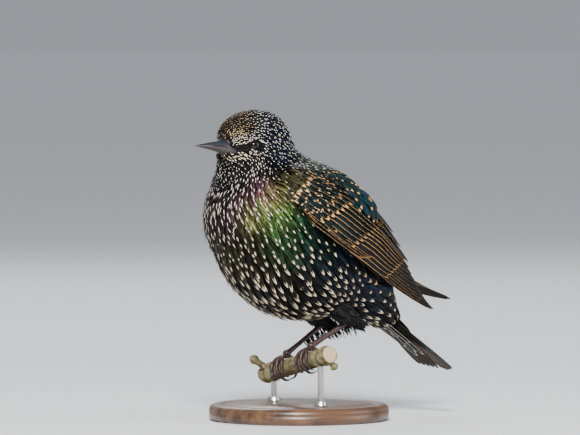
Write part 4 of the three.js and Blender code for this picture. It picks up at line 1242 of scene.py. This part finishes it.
def mandible(upper):
    """An arch over the mouth line, or a keel under it, its sides a little pinched."""
    rows, half_sides = 40, 14
    steps = np.linspace(0, len(BILL_SHAPE) - 1, rows)
    share, culmen, mouth, keel, half = np.moveaxis(spline(BILL_SHAPE, steps), -1, 0)
    x = BILL_BASE - BILL_LENGTH * share * (1 if upper else 0.965)
    flat = mouth + GAP / 2 if upper else mouth - GAP / 2
    crest = culmen if upper else keel
    angle = np.linspace(0, np.pi, half_sides + 1)[None, :]
    flare = 1 - smoothstep(0.24, 0.44, share)[:, None]  # the corner of the gape spreads most along the mouth
    rise = np.sin(angle) ** (0.85 + 0.6 * flare)
    y = half[:, None] * np.cos(angle) * (1 - (0.08 + 0.12 * flare) * np.sin(angle) ** 2)
    z = mix(flat[:, None], crest[:, None], rise)
    rings = np.stack([x[:, None] + 0 * y, y, z], -1)
    points, quads, tris = facing_out(*closed_tube(rings))
    return turn_about_neck(points, HEAD_TURN), quads, tris


def horn_pattern_group():
    """Horn of the bill: another colour towards the tip, a tint below the ridge and faint growth lines."""
    group, ins, outs = group_of("horn_pattern", {"Base": COLOUR, "Tip": COLOUR, "Side": COLOUR},
                                {"Colour": COLOUR, "Grain": FLOAT})
    base, tip, side_tint = ins.outputs[:3]
    place = add(group, "ShaderNodeTexCoord")
    x, _, z = split_up(group, place.outputs["Object"])
    grain = on_object(group, "ShaderNodeTexNoise", (60, 900, 900), in2=1.0, in3=4.0).outputs[0]
    colour = blend_colours(group, ranged(group, x, -0.046, -0.070, easing="LINEAR"), base, tip)
    tint_top = PERCH_TOP * 0.001 + 0.1185
    below = ranged(group, z, tint_top - 0.002, tint_top, 1.0, 0.0, "LINEAR")
    colour = blend_colours(group, sums(group, "MULTIPLY", below, 0.8), colour, side_tint)
    colour = blend_colours(group, sums(group, "MULTIPLY", grain, 0.5), colour, (0.02, 0.02, 0.022))
    plug(group, outs, {0: colour, 1: grain})
    return group


NOSTRIL = np.array([-53.6, 3.3, 118.9])
NOSTRIL_HALF_LONG = 1.3
NOSTRIL_HALF_HIGH = 0.42


def make_bill():
    horn_pattern = horn_pattern_group()
    for upper, node, colours in (
            (True, "bill_upper", ((0.022, 0.027, 0.042), (0.010, 0.011, 0.015), (0.036, 0.032, 0.036))),
            (False, "bill_lower", ((0.062, 0.046, 0.046), (0.020, 0.018, 0.022), (0.078, 0.060, 0.060)))):
        material, tree, shader = new_material(f"horn_{node}", rough=0.40, specular=0.3)
        pattern = add(tree, "ShaderNodeGroup", node_tree=horn_pattern)
        plug(tree, pattern, dict(enumerate(colours)))
        finished(tree, shader, *pattern.outputs, 0.25, 0.0003)
        on_model(make_mesh(f"horn_{node}", *mandible(upper), material), "bill", node)
    pits = []
    angle = full_turn(16)
    depth = np.linspace(0, 1, 5)[:, None, None]
    oval = np.stack([NOSTRIL_HALF_LONG * np.cos(angle), 0 * angle, NOSTRIL_HALF_HIGH * np.sin(angle)], -1)
    for side in SIDES.values():
        inward = np.array([0, -side * 0.5, 0]) * depth + np.array([0, side * 0.28, 0])
        rings = NOSTRIL * (1, side, 1) + oval[None] * (1 - 0.5 * depth) + inward
        pits.append(facing_out(*closed_tube(rings)))
    points, quads, tris = joined(pits)
    # painted shade: the shallow nostril pits are coloured near black for the shade inside the opening
    nostril_dark = plain_material("nostril_dark", (0.006, 0.006, 0.006), rough=0.6)
    on_model(make_mesh("nostrils", turn_about_neck(points, HEAD_TURN), quads, tris, nostril_dark), "bill")


# Eyes

LID_RADIUS = 2.85
LID_THICK = 0.42
LID_STAND = 2.6
LID_YAW = math.radians(20)


def eye_axes(side):
    """Directions out of the head, across and up at the eye of one side."""
    out = np.array([-math.sin(LID_YAW), side * math.cos(LID_YAW), 0])
    up = np.array([0, 0, 1.0])
    return out, np.cross(out, up), up


def ball(centre, radius, side):
    """A globe whose pole looks out of the head, and each point's share of the way from pole to pole."""
    rows, around = 28, 40
    out, east, north = eye_axes(side)
    lat = np.linspace(0, np.pi, rows)[1:-1, None]
    lon = full_turn(around)[None, :]
    aside = np.cos(lon)[..., None] * east + np.sin(lon)[..., None] * north
    rings = centre + radius * (np.cos(lat)[..., None] * out + np.sin(lat)[..., None] * aside)
    points, quads, tris = closed_tube(rings)
    points[-2] = centre + radius * out
    points[-1] = centre - radius * out
    lats = np.concatenate([np.repeat(lat[:, 0], around), [0, np.pi]])
    return facing_out(points, quads, tris), lats / np.pi


def lid_ring(side):
    """A beaded ring of bare skin round the eye of one side."""
    out, east, north = eye_axes(side)
    middle = EYE * (1, side, 1) + out * LID_STAND
    turn = np.linspace(0, 2 * np.pi, 49)[:-1, None]
    radius = LID_RADIUS * (1 + 0.03 * np.cos(2 * turn))
    path = middle + radius * (np.cos(turn) * east * 1.05 + np.sin(turn) * north * 0.95)
    thick = LID_THICK + 0.05 * np.cos(turn * 24)
    around = full_turn(10)[None, :, None]
    spokes = unit(path - middle)[:, None] * np.cos(around) + out * np.sin(around)
    rings = path[:, None] + thick[..., None] * spokes
    return facing_out(rings.reshape(-1, 3), grid_quads(*rings.shape[:2], closed=True), np.zeros((0, 3), int))


def make_eyes():
    material, tree, shader = new_material("dark_eye", rough=0.05, specular=0.25, coat=0.3, coat_rough=0.01)
    ring = add(tree, "ShaderNodeAttribute", attribute_name="iris")
    iris = ranged(tree, split_up(tree, ring.outputs["Vector"])[0], 0.150, 0.175)
    colour = blend_colours(tree, iris, (0.001, 0.001, 0.001), (0.006, 0.003, 0.002))
    wire(tree, (colour, shader.inputs["Base Color"]))
    for name, side in SIDES.items():
        (points, quads, tris), lat = ball(EYE * (1, side, 1), EYE_RADIUS, side)
        globe = make_mesh(f"globe_eye_{name}", turn_about_neck(points, HEAD_TURN), quads, tris, material,
                          values={"iris": np.stack([lat, lat, lat], -1)})
        on_model(globe, "eye", f"eye_{name}")
    points, quads, tris = joined([lid_ring(side) for side in SIDES.values()])
    lid_skin = plain_material("lid_skin", (0.003, 0.003, 0.003), rough=0.6, specular=0.12)
    on_model(make_mesh("lids", turn_about_neck(points, HEAD_TURN), quads, tris, lid_skin), "spotted_head")


# Branch

perch_along = np.array([0, math.cos(PERCH_TILT), -math.sin(PERCH_TILT)])
perch_up = np.array([0, math.sin(PERCH_TILT), math.cos(PERCH_TILT)])
perch_back = np.array([1.0, 0, 0])


def on_perch(along, back, up):
    along, back, up = (np.asarray(v, float)[..., None] for v in (along, back, up))
    return np.array([0, 0, -PERCH_RADIUS]) + perch_along * along + perch_back * back + perch_up * up


SHOOTS = [
    {"along": 29, "back": -0.75, "up": 0.66, "length": 15, "radius": 2.0},
    {"along": -28, "back": 0.5, "up": -0.86, "length": 9.5, "radius": 1.8},
]


def branch_surface():
    """A rod with bark: swellings at its knots, thin cross rings and lengthwise furrows from summed waves."""
    rows, sides = 220, 72
    s = np.linspace(-PERCH_NEAR, PERCH_FAR, rows)[:, None]
    angle = full_turn(sides)[None, :]
    grip = 1 - smoothstep(16, 26, np.abs(s))
    knot = (0.08 * np.cos(s * 0.9) + 0.1 * np.exp(-np.square((s - 30) / 4))
            + 0.07 * np.exp(-np.square((s + 28) / 3)))
    radius = PERCH_RADIUS * (0.97 + (1 - grip) * knot)
    radius = radius * (1 + (1 - grip) * 0.05 * np.sin(3 * angle + s * 0.3))
    bark = (0.05 * np.sin(7 * angle + 2.2 * np.sin(s * 0.35))
            + 0.04 * np.sin(17 * angle + 1.5 * np.sin(s * 0.6 + 1))
            - 0.10 * np.exp(-np.square(np.mod(s + 2 + 0.5 * np.sin(2 * angle), 13.5) - 6.7) * 5))
    end = np.minimum(s + PERCH_NEAR, PERCH_FAR - s)
    radius = (radius + bark) * (1 - 0.06 * np.exp(-end * 2.2))
    return facing_out(*closed_tube(on_perch(s + 0 * angle, radius * np.cos(angle), radius * np.sin(angle))))


def bark_material():
    """Olive-brown young bark with dark scars round it, pale pores and green dust."""
    material, tree, shader = new_material("young_bark", rough=0.72)
    fibres = on_object(tree, "ShaderNodeTexNoise", (420, 110, 420), in2=1.0, in3=6.0).outputs[0]
    blotch = on_object(tree, "ShaderNodeTexNoise", in2=120.0, in3=4.0).outputs[0]
    pores = on_object(tree, "ShaderNodeTexVoronoi", in2=420.0).outputs["Distance"]
    colour = ramp(tree, fibres, (0.30, (0.060, 0.040, 0.018)), (0.5, (0.165, 0.130, 0.055)),
                  last=(0.72, (0.30, 0.25, 0.13)))
    green = ranged(tree, blotch, 0.52, 0.68)
    colour = blend_colours(tree, sums(tree, "MULTIPLY", green, 0.55), colour, (0.20, 0.22, 0.10))
    spots = ranged(tree, pores, 0.10, 0.22, 1.0, 0.0)
    colour = blend_colours(tree, sums(tree, "MULTIPLY", spots, 0.5), colour, (0.42, 0.36, 0.24))
    place = add(tree, "ShaderNodeTexCoord")
    length = split_up(tree, place.outputs["Object"])[1]
    ring_place = sums(tree, "ADD", sums(tree, "MULTIPLY_ADD", blotch, 0.004, length), 0.1035)
    scar = ranged(tree, sums(tree, "PINGPONG", ring_place, 0.00675), 0.0, 0.0008, 1.0, 0.0)
    colour = blend_colours(tree, sums(tree, "MULTIPLY", scar, 0.75), colour, (0.035, 0.024, 0.014))
    finished(tree, shader, colour, sums(tree, "MULTIPLY_ADD", spots, 0.4, fibres), 0.7, 0.0006)
    return material


def cut_wood_material():
    """Pale sawn end grain with rings round the pith."""
    material, tree, shader = new_material("sawn_end", rough=0.8)
    place = add(tree, "ShaderNodeTexCoord")
    centred = add(tree, "ShaderNodeMapping")
    centred.inputs["Location"].default_value = (0, 0, -(PERCH_TOP - PERCH_RADIUS) * 0.001)
    rings = add(tree, "ShaderNodeTexWave", wave_type="RINGS", rings_direction="Y",
                in1=520.0, in2=1.2, in3=2.0)
    colour = blend_colours(tree, rings.outputs["Fac"], (0.42, 0.30, 0.17), (0.58, 0.46, 0.29))
    wire(tree, (place.outputs["Object"], centred.inputs[0]), (centred.outputs[0], rings.inputs["Vector"]),
         (colour, shader.inputs["Base Color"]))
    return material


def make_branch():
    parts = [branch_surface()]
    share = np.array([0, 0.35, 0.6, 0.68, 0.72, 0.78, 0.86, 0.92, 0.96, 0.99, 1])
    swell = np.array([1.25, 1, 0.9, 0.95, 1.15, 1.33, 1.3, 1.08, 0.8, 0.5, 0.2])
    for shoot in SHOOTS:
        lean = perch_along * 0.25 * np.sign(shoot["along"])
        out = unit(perch_back * shoot["back"] + perch_up * shoot["up"] + lean)
        path = on_perch(shoot["along"], 0, 0) + out * (share * shoot["length"])[:, None]
        parts.append(limb(path, swell * shoot["radius"], 28))
    on_model(make_mesh("bark_branch", *joined(parts), bark_material()), "bark", "perch_branch")
    ends = []
    angle = full_turn(48)[None, :]
    radius = PERCH_RADIUS * np.array([0.90, 0.90, 0.6, 0.3])[:, None] * (1 + 0.02 * np.sin(3 * angle))
    step = np.array([0.25, -0.06, -0.10, -0.12])[:, None]
    for end, turn in ((-PERCH_NEAR, 1), (PERCH_FAR, -1)):
        rings = on_perch(end + step * turn + 0 * angle, radius * np.cos(angle), radius * np.sin(angle))
        ends.append(facing_out(*closed_tube(rings)))
    on_model(make_mesh("cut_ends", *joined(ends), cut_wood_material()), "bark")


# Legs and feet

FOOT_SPREAD = 13
HEEL = np.array([27.0, 14, 19])
TARSUS_RADIUS = 1.4
TOE_RADIUS = 1.15
TOES = {
    "inner": (-5.4, 100, 0.92, False),
    "middle": (0, 140, 1, False),
    "outer": (5.4, 102, 0.92, False),
    "hind": (0.6, 92, 1.12, True),
}
CLAW_TURN = 62
TOE_TRACK = PERCH_RADIUS + TOE_RADIUS + GAP + 0.15


def toe_point(side, splay, back, degrees, out=0.0):
    """A point on a toe's line: it starts on top of the branch and wraps round it."""
    degrees = np.asarray(degrees, float)
    angle = np.radians(90 + (-degrees if back else degrees))
    spread = side * splay * smoothstep(-10, 75, degrees) + side * FOOT_SPREAD
    track = TOE_TRACK + out
    return on_perch(spread, track * np.cos(angle), track * np.sin(angle))


def ankle(side):
    return toe_point(side, 0, True, 8, 1.6)


def heel_at(side):
    return HEEL * (1, side, 1) + (0, 0, -side * 1.4)


def scaly_limb(path, radii, sides, scutes, height):
    """A tube whose front carries overlapping shields: a saw-tooth swelling along it, faded to the back."""
    path = np.asarray(path, float)
    fine = np.linspace(0, len(path) - 1, scutes * 6 + 1)
    line = spline(path, fine)
    radius = spline(np.asarray(radii, float)[:, None], fine)[:, 0]
    along = unit(np.gradient(line, axis=0))
    across = unit(np.cross(along, (0, 1.0, 0)))
    over = np.cross(across, along)
    angle = full_turn(sides)
    phase = np.mod(np.linspace(0, scutes, len(fine)), 1)
    tooth = height * (1 - phase) * smoothstep(0, 0.12, phase)
    front = 0.35 + 0.65 * smoothstep(-0.3, 0.6, -np.cos(angle))
    return tube_along(line, radius[:, None] + tooth[:, None] * front[None, :], across, over, sides)


def leg_material():
    """Dark red-brown scaly skin, blotched, and darker between the scales."""
    material, tree, shader = new_material("leg_skin", rough=0.42)
    scales = on_object(tree, "ShaderNodeTexVoronoi", in2=1500.0).outputs["Distance"]
    blotch = on_object(tree, "ShaderNodeTexNoise", in2=320.0, in3=4.0).outputs[0]
    colour = blend_colours(tree, blotch, (0.020, 0.009, 0.008), (0.064, 0.026, 0.018))
    colour = blend_colours(tree, sums(tree, "MULTIPLY", scales, 0.5), colour, (0.013, 0.008, 0.007))
    finished(tree, shader, colour, scales, 0.5, 0.0002)
    return material


def make_legs():
    skin = leg_material()
    horn = plain_material("claw_horn", (0.018, 0.013, 0.013), rough=0.28, coat=0.4, coat_rough=0.05)
    for name, side in SIDES.items():
        bottom = ankle(side) + (0.6, 0, 0.3)
        share = np.array([0, 0.12, 0.3, 0.6, 0.85, 0.95, 1])[:, None]
        swell = np.array([1.25, 1.08, 0.95, 1, 1.2, 1.55, 1.35]) * TARSUS_RADIUS
        shank = scaly_limb(mix(bottom, heel_at(side), share), swell, 20, 16, 0.14)
        on_model(make_mesh(f"scaly_shank_{name}", *shank, skin), "leg", f"shank_{name}")
        parts = []
        for splay, turn, size, back in TOES.values():
            degrees = np.linspace(-6, turn, 12)
            s = np.linspace(0, 1, 12)
            path = toe_point(side, splay, back, degrees, 0.175 * np.abs(np.sin(s * np.pi * 2.5)))
            radii = TOE_RADIUS * size * (1 + 0.1 * np.cos(s * np.pi * 5)) * mix(1.08, 0.86, s)
            parts.append(scaly_limb(path, radii, 16, 12 if turn > 110 else 9, 0.12))
        lat = np.linspace(0.05, np.pi - 0.05, 14)[:, None]
        lon = full_turn(24)[None, :]
        sole = ankle(side) + np.stack([2.5 * np.sin(lat) * np.cos(lon), 2.2 * np.sin(lat) * np.sin(lon),
                                       2.1 * np.cos(lat) + 0 * lon], -1)
        parts.append(facing_out(*closed_tube(sole)))
        on_model(make_mesh(f"scaly_foot_{name}", *joined(parts), skin), "leg", f"foot_{name}")
        for toe, (splay, turn, size, back) in TOES.items():
            s = np.linspace(0, 1, 16)
            degrees = turn + 2 + (CLAW_TURN * (1.12 if back else 0.92) + 3) * s
            out = 0.55 * np.sin(np.pi * s) - 0.25 * smoothstep(0.8, 1, s)
            path = toe_point(side, splay, back, degrees, out)
            radii = TOE_RADIUS * 0.74 * size * np.sqrt(1 - s) ** 1.5 + 0.10
            claw = limb(path, radii, 14)
            on_model(make_mesh(f"horn_claw_{name}_{toe}", *claw, horn), "claw", f"claw_{name}_{toe}")


THIGH_GLOSS = (0.010, 0.009, 0.009, 0.3)
HANGING_GLOSS = (0.010, 0.009, 0.009, 0.2)
HIP = np.array([8.0, 17, 30])
THIGH_STEPS = np.array([0, 0.35, 0.6, 0.8, 0.94, 1.04])
THIGH_RADII = np.array([7.5, 7.2, 6.2, 4.6, 3.2, 2.1])


def thigh_feathers(tract, side):
    """Loose feathers that lie down the thigh to the heel."""
    count = 640
    hip = HIP * (1, side, 1)
    line = heel_at(side) - hip
    along = unit(line)
    across = unit(np.cross(along, (0, 0, 1.0)))
    over = np.cross(across, along)
    s0 = np.sqrt(draw.uniform(0.01, 1.0, count))
    angle = draw.uniform(0, 2 * np.pi, count)
    length = mix(11.0, 7.0, s0) * draw.uniform(0.85, 1.2, count)
    reach = s0[:, None] + tract.along[None, :] * (length / np.linalg.norm(line))[:, None]
    radius = np.interp(reach, THIGH_STEPS, THIGH_RADII)
    outward = across * np.cos(angle)[:, None] + over * np.sin(angle)[:, None]
    sway = draw.normal(0, 0.8, (count, 1, 3)) * np.square(tract.along)[None, :, None]
    sag = np.array([0, 0, -2.0]) * (np.square(tract.along)[None, :] * s0[:, None])[..., None]
    centre = hip + line * reach[..., None] + outward[:, None] * radius[..., None] + sway + sag
    height = mix(-1.4, 0.6, tract.along)[None, :]
    unwrap = np.stack([s0 * 0.9 + 0.05, angle / (2 * np.pi) * 0.45 + (0.02 if side < 0 else 0.51)], -1)
    tract.lay(centre, filled(outward[:, None], *centre.shape), 1.9, height, cup=0.2, blunt=1.8, taper=0.7,
              gloss=THIGH_GLOSS, unwrap=unwrap, thick=0.12)


def hanging_feathers(tract, side):
    """Thin ragged feathers that hang behind the shank."""
    count = 46
    heel = heel_at(side)
    s0 = np.linspace(-0.12, 0.62, count) + draw.normal(0, 0.02, count)
    root = heel + (ankle(side) - heel) * s0[:, None] + draw.normal(0, 0.5, (count, 3)) * (1, 1, 0.3)
    hang = unit(np.array([0.55, 0, -0.85]) + draw.normal(0, 0.16, (count, 3)))
    length = mix(9.5, 4.0, np.clip(s0, 0, 0.62) / 0.62) * draw.uniform(0.7, 1.25, count)
    centre = root[:, None] + hang[:, None] * (length[:, None] * tract.along[None, :])[..., None]
    tract.lay(centre, filled([0, side, 0.2], *centre.shape), 0.55, 0.0, cup=0.2, blunt=1.4, taper=0.8,
              gloss=HANGING_GLOSS, unwrap=np.stack([s0 * 0.5 + 0.2, filled(0.98, count)], -1), thick=0.2)


def dress_thighs():
    """Dark loose feathers over both thighs, with closed cores inside them."""
    tract = Tract("coat_thighs", 7, soft_plumage, "plumage")
    cores = []
    for side in SIDES.values():
        hip = HIP * (1, side, 1)
        path = hip + (heel_at(side) - hip) * THIGH_STEPS[:, None]
        cores.append(limb(path, THIGH_RADII - 1.6, 24))
        thigh_feathers(tract, side)
        hanging_feathers(tract, side)
    dark_core("thigh_skin", joined(cores), "plumage", ("thigh_left", "thigh_right"), flecks=0.05)
    tract.build()


# Stand

def turned_wood_material():
    """Dark oiled wood with long grain and fine pores."""
    material, tree, shader = new_material("turned_wood", rough=0.38, coat=0.25, coat_rough=0.25)
    grain = on_object(tree, "ShaderNodeTexNoise", (14, 160, 160), in2=1.0, in3=8.0).outputs[0]
    pores = on_object(tree, "ShaderNodeTexNoise", (90, 1400, 1400), in2=1.0, in3=2.0).outputs[0]
    tone = ramp(tree, grain, (0.35, (0.045, 0.020, 0.010)), last=(0.65, (0.17, 0.082, 0.038)))
    dark = ranged(tree, pores, 0.58, 0.70)
    colour = blend_colours(tree, sums(tree, "MULTIPLY", dark, 0.6), tone, (0.02, 0.010, 0.006))
    finished(tree, shader, colour, pores, 0.2, 0.0002)
    return material


def brushed_material():
    material, tree, shader = new_material("brushed_rod", metal=1.0)
    lines = on_object(tree, "ShaderNodeTexNoise", (300, 300, 6000), in2=1.0, in3=2.0).outputs[0]
    colour = blend_colours(tree, lines, (0.42, 0.41, 0.39), (0.58, 0.57, 0.54))
    wire(tree, (sums(tree, "MULTIPLY_ADD", lines, 0.25, 0.2), shader.inputs["Roughness"]),
         (colour, shader.inputs["Base Color"]))
    return material


def make_stand():
    """The base is turned from a profile; the rods keep their solids with a brushed finish."""
    foot_bevel, shoulder_wide, shoulder_high = 1.6, 3.6, 3.0
    groove_depth = 0.25
    corner = np.linspace(0, np.pi / 2, 10)
    shoulder = BASE_THICK - shoulder_high
    outline = [(BASE_RADIUS - foot_bevel, 0.0), (BASE_RADIUS, foot_bevel), (BASE_RADIUS, shoulder)]
    outline += zip(BASE_RADIUS - shoulder_wide * (1 - np.cos(corner)),
                   shoulder + shoulder_high * np.sin(corner))
    outline += [(BASE_RADIUS - inset, BASE_THICK - depth)
                for inset, depth in ((8, 0), (8.4, groove_depth), (8.9, groove_depth), (9.3, 0))]
    outline = np.array([*outline, (0.5, BASE_THICK)])
    angle = full_turn(128)
    rings = np.stack([outline[:, :1] * np.cos(angle), outline[:, :1] * np.sin(angle),
                      outline[:, 1:] + 0 * angle - PERCH_TOP], -1)
    base = make_mesh("turned_base", *facing_out(*closed_tube(rings)), turned_wood_material())
    on_model(base, "base_wood", "stand_base")
    brushed = brushed_material()
    for node in ("stand_rod_1", "stand_rod_2"):
        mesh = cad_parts[node].data
        mesh.materials.clear()
        mesh.materials.append(brushed)


# Floor, light and camera

def make_stage():
    floor_mesh = bpy.data.meshes.new("floor")
    reach = 40.0
    corners = [(-reach, -reach, 0), (reach, -reach, 0), (reach, reach, 0), (-reach, reach, 0)]
    floor_mesh.from_pydata(corners, [], [(0, 1, 2, 3)])
    floor_mesh.materials.append(plain_material("pale_floor", (0.80, 0.80, 0.81), rough=0.9))
    floor = bpy.data.objects.new("floor", floor_mesh)
    bpy.context.collection.objects.link(floor)
    world = bpy.data.worlds.new("studio")
    bpy.context.scene.world = world
    world.use_nodes = True
    tree = world.node_tree
    # the air is a little dimmer at the horizon, so that the far floor melts into it
    way = add(tree, "ShaderNodeTexCoord")
    rise = ranged(tree, split_up(tree, way.outputs["Generated"])[2], 0.0, 0.4)
    air = blend_colours(tree, rise, (0.635, 0.666, 0.72), (0.82, 0.86, 0.92))
    wire(tree, (air, tree.nodes["Background"].inputs[0]))
    tree.nodes["Background"].inputs[1].default_value = 0.55
    target = Vector((0, 0, 0.1))
    for name, place, size, power in (("key", (-1.0, -1.4, 1.3), 0.5, 80), ("fill", (1.4, -1.1, 0.7), 1.2, 14),
                                     ("rim", (0.6, 1.5, 1.3), 0.9, 14)):
        lamp = bpy.data.lights.new(name, "AREA")
        lamp.size = size
        lamp.energy = power
        holder = bpy.data.objects.new(name, lamp)
        holder.location = place
        holder.rotation_euler = (target - Vector(place)).to_track_quat("-Z", "Y").to_euler()
        bpy.context.collection.objects.link(holder)


CAMERA_TURN = math.radians(-32)
CAMERA_RISE = math.radians(2)
CAMERA_FAR = 3.0
SENSOR_WIDTH = 36
PIXELS_PER_MM = 1.8
PHOTO_WIDTH, PHOTO_HEIGHT = 580, 435
ANCHOR_PIXEL = (299, 355)  # where the top of the branch at the bird's middle falls in the picture


def make_camera():
    camera_data = bpy.data.cameras.new("camera")
    camera_data.sensor_width = SENSOR_WIDTH
    camera_data.lens = SENSOR_WIDTH * PIXELS_PER_MM * CAMERA_FAR * 1000 / PHOTO_WIDTH
    camera = bpy.data.objects.new("camera", camera_data)
    bpy.context.collection.objects.link(camera)
    a, e = CAMERA_TURN, CAMERA_RISE
    back = Vector((math.sin(a) * math.cos(e), -math.cos(a) * math.cos(e), math.sin(e)))
    right = Vector((math.cos(a), math.sin(a), 0))
    up = back.cross(right)
    anchor = Vector((0, 0, PERCH_TOP * 0.001))
    off_right = (ANCHOR_PIXEL[0] - PHOTO_WIDTH / 2) / PIXELS_PER_MM * 0.001
    off_down = (ANCHOR_PIXEL[1] - PHOTO_HEIGHT / 2) / PIXELS_PER_MM * 0.001
    target = anchor - right * off_right + up * off_down
    camera.location = target + back * CAMERA_FAR
    camera.rotation_euler = (-back).to_track_quat("-Z", "Y").to_euler()
    camera_data.clip_end = 50
    bpy.context.scene.camera = camera


make_camera()
make_stage()
make_skin()
dress_body()
dress_loose()
for wing_name in WINGS:
    dress_wing(wing_name)
tail_stem()
dress_tail()
make_bill()
make_eyes()
make_branch()
make_legs()
dress_thighs()
make_stand()
